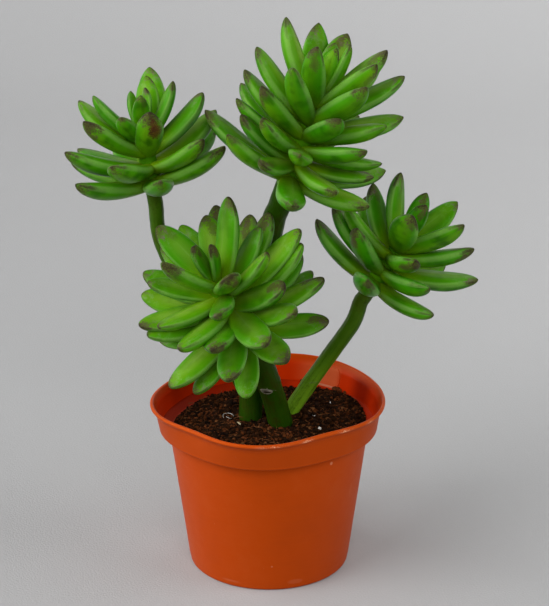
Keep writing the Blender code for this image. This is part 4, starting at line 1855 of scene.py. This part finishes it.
@dataclass
class Head(Part):
    """A head: whorls of fleshy leaves on a slim core."""

    name: str
    stem: Stem
    core_radius: float
    leaf_width: float
    leaf_thickness: float
    leaf_bend: float
    whorls: tuple[Whorl, ...]
    brushed: dict[tuple[int, int], float] = field(default_factory=dict)
    tone: float = 0.52
    tip_fullness: float = 0.74
    turn_spread: float = 13
    lean_spread: float = 10
    length_spread: float = 0.08
    roll_spread: float = 12
    leaf_root: float = 0.62
    leaf_widest: float = 0.56
    leaf_upper: float = 0.37
    leaf_full: float = 0.046
    leaf_trim: float = 0
    leaf_taper: float = 0.9
    leaf_lumps: float = 0.0006
    leaf_bow: float = 0.0018
    leaf_twist: float = 14
    leaf_dish: float = 0.06
    leaf_ridge: float = 0.05
    neck_drop: float = 0.0045
    neck_top: float = 0.0010
    tone_spread: float = 0.38
    stations: tuple[float, ...] = (
        0, 0.08, 0.18, 0.3, 0.42, 0.54, 0.64, 0.73, 0.81, 0.87, 0.915, 0.95, 0.976, 0.992, 0.9985,
    )
    leaf_sides: int = 28

    def leaf_outline(self, along: np.ndarray) -> np.ndarray:
        """The blade's outline.

        Args:
            along: Places from 0 at the root to 1 at the tip.

        Returns:
            The share of the leaf's full width at each.
        """
        swell = np.sin(0.5 * np.pi * np.minimum(along / self.leaf_widest, 1))
        point = np.maximum(0, (along - self.leaf_widest) / (1 - self.leaf_widest))
        return (self.leaf_root + (1 - self.leaf_root) * swell) * (1 - point**2.3) ** self.tip_fullness

    def pattern(self) -> bpy.types.Object:
        """A straight leaf of unit size: X is across, Y is up and Z runs from root to tip.

        Returns:
            The leaf, which is only a pattern.
        """
        places = self.stations
        widths = self.leaf_outline(np.array(places))
        leaf = Bench.ring("leaf_pattern", self.leaf_sides, 1.0, 0)
        bpy.ops.transform.resize(value=(widths[0], widths[0], 1), center_override=(0, 0, 0))
        for low, high in zip(range(len(places) - 1), range(1, len(places))):
            Bench.grow(places[high] - places[low], widths[high] / widths[low], places[high])
        Bench.close(leaf, (places[0], places[-1]))
        return leaf

    def places(self) -> list[LeafPlace]:
        """Places every leaf, evenly turned in its whorl with a small seeded spread.

        Returns:
            The leaves' places, whorl by whorl.
        """
        core = (Vector(self.stem.crown) - Vector(self.stem.foot)).length
        found = []
        for ring, whorl in enumerate(self.whorls):
            draw = random.Random(whorl.seed)
            extra = random.Random(whorl.seed + 7)
            for number in range(whorl.count):
                turn = whorl.first + 360 * number / whorl.count
                turn += self.turn_spread * draw.uniform(-1, 1)
                lean = whorl.lean + self.lean_spread * draw.uniform(-1, 1)
                length = whorl.length * (1 + self.length_spread * draw.uniform(-1, 1))
                roll = self.roll_spread * draw.uniform(-1, 1)
                found.append(LeafPlace(
                    height=core * whorl.height,
                    turn=math.radians(turn),
                    lean=math.radians(lean),
                    length=length,
                    roll=math.radians(roll),
                    brushed=self.brushed.get((ring, number), extra.uniform(0.2, 0.85)),
                    tone=self.tone + extra.uniform(-self.tone_spread, self.tone_spread),
                    seed=extra.uniform(0, 90),
                ))
        return found

    def leaf_frame(self, place: LeafPlace) -> np.ndarray:
        """Rotation from a leaf's own frame to its head's, where the front is -Y.

        Args:
            place: The leaf's place.

        Returns:
            The rotation, as a 3 by 3 matrix.
        """
        sin_lean, cos_lean = math.sin(place.lean), math.cos(place.lean)
        sin_turn, cos_turn = math.sin(place.turn), math.cos(place.turn)
        along = Vector((sin_lean * sin_turn, -sin_lean * cos_turn, cos_lean))
        upper = Vector((-cos_lean * sin_turn, cos_lean * cos_turn, sin_lean))
        upper.rotate(Matrix.Rotation(place.roll, 3, along))
        return np.array(Matrix((upper.cross(along), upper, along)).transposed())

    def shaped(self, unit: np.ndarray, place: LeafPlace) -> tuple[np.ndarray, np.ndarray]:
        """Bends the unit leaf to its size and places it on the head.

        Args:
            unit: The unit leaf's points.
            place: The leaf's place.

        Returns:
            The points in the head's frame, and rows of across, along, brushed, tone and upper.
        """
        along = unit[:, 2]
        outline = self.leaf_outline(np.clip(along, 0, 1))
        safe = np.maximum(outline, 1e-4)
        across = np.clip(unit[:, 0] / safe, -1, 1)
        up = np.clip(unit[:, 1] / safe, -1, 1)
        start = self.core_radius * 0.5 * (math.sin(place.lean) - math.cos(place.lean))
        length = place.length - start - self.leaf_trim
        girth = min(1, length / self.leaf_full) ** self.leaf_taper
        half_bend = math.radians(self.leaf_bend) / 2
        angle = (2 * along - 1) * half_bend
        span = length / (2 * math.sin(half_bend))
        depth = girth * self.leaf_thickness * outline**0.8
        rise = self.section(across, up, along) * depth
        lump = spread(unit * (1, 1, 3), 0.9, place.seed) * self.leaf_lumps
        side = 0.5 * girth * self.leaf_width * outline * across + lump * along
        bow = self.leaf_bow * math.sin(place.seed) * along**2
        twist = math.radians(self.leaf_twist) * math.sin(place.seed * 1.7) * (along - 0.4)
        side, rise = (
            side * np.cos(twist) - rise * np.sin(twist),
            rise * np.cos(twist) + side * np.sin(twist) * 0.6,
        )
        points = np.stack([
            side + bow,
            span * (math.cos(half_bend) - np.cos(angle)) + rise * np.cos(angle) + lump * 0.7,
            span * (np.sin(angle) + math.sin(half_bend)) - rise * np.sin(angle) + start,
        ], 1)
        placed = points @ self.leaf_frame(place).T + (0, 0, place.height)
        facts = np.stack([
            across * 0.5 + 0.5,
            along,
            np.full(len(unit), place.brushed),
            np.full(len(unit), place.tone),
            np.clip(up * 4 + 0.5, 0, 1),
        ], 1)
        return placed, facts

    def section(self, across: np.ndarray, up: np.ndarray, along: np.ndarray) -> np.ndarray:
        """A leaf's thickness above and below its margins, as a share of its full thickness.

        The upper face is a shallow dish with a low ridge down its middle, the margins are
        narrow and the lower face is a deep rounded keel.

        Args:
            across: Place from one margin to the other, -1 to 1.
            up: Height on a round section, -1 to 1.
            along: Place from root to tip, 0 to 1.

        Returns:
            The heights.
        """
        open_part = np.clip(along * 3 - 0.3, 0, 1)
        dish = self.leaf_dish * hump(across, 0.5) * open_part
        ridge = self.leaf_ridge * hump(across, 0.14) * open_part
        crest = np.clip(1.25 - along, 0, 1)
        upper = np.maximum(up, 0) ** 1.08 * self.leaf_upper - (dish - ridge * crest) * (up > 0)
        keel = np.maximum(-up, 0) ** 1.14 * (1 - self.leaf_upper)
        return np.where(up > 0, upper, -keel)

    def core(self) -> bpy.types.Object:
        """The slim core that the leaves grow from, with a neck that meets the stem.

        Returns:
            The core, which is only a pattern.
        """
        length = (Vector(self.stem.crown) - Vector(self.stem.foot)).length
        outline = [
            (self.stem.top_radius * 0.98, -self.neck_drop),
            (self.stem.top_radius * 1.06, -self.neck_top),
            (self.core_radius, 0.3 * length),
            (self.core_radius * 0.75, 0.8 * length),
            (self.core_radius * 0.45, length),
        ]
        return Bench.lathe("core_pattern", outline, 24)

    def build(self, material: bpy.types.Material) -> None:
        """Models the head.

        Args:
            material: The leaves' material.
        """
        pattern = self.pattern()
        unit, unit_faces = mesh_points(pattern), mesh_faces(pattern)
        core = self.core()
        points, faces = [mesh_points(core)], list(mesh_faces(core))
        facts = [np.tile((0.5, 0.40, 0, 0.2, 0), (len(points[0]), 1))]
        count = len(points[0])
        for place in self.places():
            placed, told = self.shaped(unit, place)
            points.append(placed)
            facts.append(told)
            faces += [tuple(v + count for v in face) for face in unit_faces]
            count += len(placed)
        for spare in (pattern, core):
            Bench.discard(spare)
        axis = self.stem.axis
        front = Vector((0, -1, 0))
        front = (front - axis * front.dot(axis)).normalized()
        turn = np.array(Matrix((axis.cross(front), -front, axis)).transposed())
        places = np.concatenate(points) @ turn.T + np.array(self.stem.foot)
        told = np.concatenate(facts)
        head = Bench.mesh(f"head_{self.name}_leaves", places, faces)
        set_blade(head, told[:, :2])
        set_marks(head, told[:, 2:])
        Bench.modify(head, "SUBSURF", levels=1, render_levels=1)
        Bench.smooth(head, 70)
        self.finish(head, material, Slot.LEAF, f"head_{self.name}")


# Plant


def stems() -> dict[str, Stem]:
    """The four stems, by name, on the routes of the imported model."""
    return {
        "front": Stem(
            name="front",
            route=((0.0130, 0.0035, 0.0370), (0.0060, 0.0006, 0.0750), (0.0020, -0.0010, 0.0918),
                   (-0.0035, -0.0030, 0.1100)),
            foot=(-0.0131, -0.0060, 0.1289),
            crown=(-0.0271, -0.0240, 0.1655),
            low_radius=0.0064,
            top_radius=0.0058,
            scars=(Scar(0.0968, -18, 0.0068, 0.0030, 1.0), Scar(0.1010, 96, 0.0060, 0.0026)),
            # Painted shade: this stem is kept dark up to its head, which shades its top.
            green_and_lighting_low=0.24, green_and_lighting_high=0.0,
        ),
        "top": Stem(
            name="top",
            route=((-0.0120, 0.0085, 0.0370), (-0.0097, 0.0093, 0.0750), (-0.0078, 0.0125, 0.1110),
                   (-0.0034, 0.0150, 0.1490), (0.0021, 0.0130, 0.1806), (0.0052, 0.0108, 0.1903)),
            foot=(0.0096, 0.0080, 0.2043),
            crown=(0.0263, 0.0050, 0.2520),
            low_radius=0.0062,
            top_radius=0.0056,
            scars=(Scar(0.1765, -12, 0.0056, 0.0024), Scar(0.1500, 170, 0.0060, 0.0026)),
            green_and_lighting_high=0.36,
        ),
        "right": Stem(
            name="right",
            route=((0.0000, 0.0157, 0.0410), (0.0092, 0.0136, 0.0720), (0.0180, 0.0147, 0.0870),
                   (0.0322, 0.0161, 0.1080), (0.0429, 0.0168, 0.1243)),
            foot=(0.0519, 0.0170, 0.1437),
            crown=(0.0697, 0.0150, 0.1728),
            low_radius=0.0042,
            top_radius=0.0040,
            scars=(Scar(0.0935, 10, 0.0036, 0.0014, 0.15), Scar(0.1150, 150, 0.0040, 0.0020)),
            # Painted highlight and shade: this stem is lighter low down and darker near its head.
            green_and_lighting_low=1.15, green_and_lighting_high=0.48, green_and_lighting_heights=(0.080, 0.112),
        ),
        "left": Stem(
            name="left",
            route=((-0.0040, 0.0260, 0.0370), (-0.0100, 0.0256, 0.0750), (-0.0265, 0.0250, 0.1110),
                   (-0.0450, 0.0235, 0.1440), (-0.0555, 0.0220, 0.1690)),
            foot=(-0.0587, 0.0200, 0.1960),
            crown=(-0.0636, 0.0200, 0.2293),
            low_radius=0.0040,
            top_radius=0.0038,
            scars=(Scar(0.1400, 170, 0.0040, 0.0020),),
            green_and_lighting_high=0.50,
        ),
    }


def heads(stem: dict[str, Stem]) -> list[Head]:
    """The four heads, on their stems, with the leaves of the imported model."""
    return [
        Head(
            name="front", stem=stem["front"], core_radius=0.0073, leaf_width=0.0158,
            leaf_thickness=0.0084, leaf_bend=14, tip_fullness=0.58,
            whorls=(
                Whorl(6, 9, 91.5, 0.0450, 0.06, 31923),
                Whorl(8, 36, 83, 0.0485, 0.21, 1299822),
                Whorl(7, 42, 63, 0.0490, 0.36, 1818644),
                Whorl(8, 6, 70, 0.0510, 0.51, 244),
                Whorl(7, 11, 57.5, 0.0415, 0.67, 723284),
                Whorl(4, 37, 37, 0.0445, 0.82, 589894),
                Whorl(2, 84, 11, 0.0260, 0.97, 28450),
            ),
            brushed={
                (0, 0): 0.15, (0, 1): 0.80, (2, 2): 0.85, (3, 1): 0.78, (5, 0): 0.88,
                (6, 0): 0.90, (6, 1): 0.90,
            },
        ),
        Head(
            name="top", stem=stem["top"], core_radius=0.0072, leaf_width=0.0156,
            leaf_thickness=0.0091, leaf_bend=14, tip_fullness=0.76,
            whorls=(
                Whorl(6, 6, 75, 0.0515, 0.06, 1400740),
                Whorl(7, 26, 72, 0.0415, 0.21, 1240199),
                Whorl(8, 39, 69, 0.0450, 0.36, 1135),
                Whorl(7, 5, 57, 0.0465, 0.51, 6912),
                Whorl(6, 24, 46, 0.0500, 0.67, 1168068),
                Whorl(5, 33, 36, 0.0440, 0.82, 73015),
                Whorl(3, 87, 5, 0.0270, 0.97, 1382473),
            ),
        ),
        Head(
            name="right", stem=stem["right"], core_radius=0.0054, leaf_width=0.0170,
            leaf_thickness=0.0095, leaf_bend=22, tip_fullness=0.74, tone=0.24,
            whorls=(
                Whorl(5, 54, 67, 0.0430, 0.12, 14824),
                Whorl(6, 24, 68, 0.0460, 0.35, 1216780),
                Whorl(5, 8, 58.5, 0.0400, 0.60, 1999257),
                Whorl(4, 57, 40, 0.0405, 0.80, 1355333),
                Whorl(2, 169, 25, 0.0255, 0.97, 753636),
            ),
        ),
        Head(
            name="left", stem=stem["left"], core_radius=0.0052, leaf_width=0.0166,
            leaf_thickness=0.0093, leaf_bend=22, tip_fullness=0.74, leaf_trim=0.0008,
            whorls=(
                Whorl(6, 18, 75.5, 0.0480, 0.12, 23307),
                Whorl(6, 53, 70, 0.0475, 0.35, 1566264),
                Whorl(5, 28, 43, 0.0450, 0.60, 20736),
                Whorl(4, 86, 42, 0.0350, 0.80, 155448),
                Whorl(3, 2, 16, 0.0225, 0.97, 1033560),
            ),
            brushed={(2, 0): 1.0},
        ),
    ]


# Studio


@dataclass(frozen=True)
class Lamp:
    """A soft square light: its place, size in metres and power in watts."""

    name: str
    place: Point
    size: float
    power: float


@dataclass
class Studio:
    """The paper sweep, the soft lights and the camera at the photograph's angle."""

    aim: Point = (0.00287, 0, 0.1423)
    elevation: float = 21.42
    distance: float = 1.2
    focal_pixels: float = 2365
    image_height: float = 606
    sensor: float = 36
    surround: float = 0.06
    surround_colour: Colour = (0.92, 0.95, 1)
    sheet_size: Pair = (6, 3.4)
    sheet_height: float = 3
    sheet_bend: float = 0.9
    lamps: tuple[Lamp, ...] = (
        Lamp("key", (-1.1, -0.55, 1.25), 0.75, 3.6),
        Lamp("side", (-2.4, -1.6, 1.8), 2.4, 74),
        Lamp("left", (-2.2, 0.4, 1.3), 2.0, 37),
        Lamp("front", (0.3, -2.6, 1.6), 2.0, 38),
        Lamp("right", (2.4, -0.6, 1.6), 2.0, 37),
        Lamp("back", (0.9, 1.3, 1.6), 1.2, 5.5),
    )

    def sweep(self) -> None:
        """A floor that curves up into a backdrop."""
        Bench.clear()
        bpy.ops.mesh.primitive_plane_add(size=1, location=(0, 0, 0))
        sheet = bpy.context.active_object
        sheet.name = "paper_sweep"
        Bench.edit()
        bpy.ops.transform.resize(value=(*self.sheet_size, 1), center_override=(0, 0, 0))
        bpy.ops.mesh.select_all(action="DESELECT")
        bm = bmesh.from_edit_mesh(sheet.data)
        for edge in bm.edges:
            if all(v.co.y > 0 for v in edge.verts):
                edge.select_set(True)
        bmesh.update_edit_mesh(sheet.data)
        bpy.ops.mesh.extrude_region_move(
            TRANSFORM_OT_translate={"value": (0, 0, self.sheet_height)}
        )
        bpy.ops.object.mode_set(mode="OBJECT")
        Bench.modify(
            sheet, "BEVEL", width=self.sheet_bend, segments=24, limit_method="ANGLE", affect="EDGES"
        )
        Bench.smooth(sheet, 60)
        sheet.data.materials.append(BackdropFinish().material())

    def light(self) -> None:
        """Adds the lights and a dim grey surround."""
        for lamp in self.lamps:
            data = bpy.data.lights.new(lamp.name, "AREA")
            data.shape = "SQUARE"
            data.size = lamp.size
            data.energy = lamp.power
            obj = Bench.add(lamp.name, data)
            obj.location = lamp.place
            obj.rotation_euler = (Vector(self.aim) - obj.location).to_track_quat("-Z", "Y").to_euler()
        world = bpy.data.worlds.new("surround")
        world.use_nodes = True
        background = world.node_tree.nodes["Background"]
        background.inputs["Color"].default_value = (*self.surround_colour, 1)
        background.inputs["Strength"].default_value = self.surround
        bpy.context.scene.world = world

    def shoot(self) -> None:
        """Adds the camera."""
        tilt = math.radians(self.elevation)
        data = bpy.data.cameras.new("camera")
        data.sensor_fit = "VERTICAL"
        data.sensor_height = self.sensor
        data.lens = self.focal_pixels / self.image_height * self.sensor
        camera = Bench.add("camera", data)
        x, y, z = self.aim
        camera.location = (x, y - self.distance * math.cos(tilt), z + self.distance * math.sin(tilt))
        camera.rotation_euler = (math.pi / 2 - tilt, 0, 0)
        bpy.context.scene.camera = camera
        bpy.context.scene.view_settings.view_transform = "Standard"

    def build(self) -> None:
        """Sets up the whole studio."""
        self.sweep()
        self.light()
        self.shoot()


def main() -> None:
    """Builds the plant in its pot and the studio round it."""
    logging.basicConfig(level=logging.INFO, format="%(name)s: %(message)s")
    Studio().build()
    pot = Pot()
    pot.build()
    plant = stems()
    Peat(pot, [stem.at_soil(Peat.middle_height) for stem in plant.values()]).build()
    skin = StemFinish().material()
    for stem in plant.values():
        stem.build(skin)
    flesh = LeafFinish().material()
    for head in heads(plant):
        head.build(flesh)


if __name__ == "__main__":
    main()
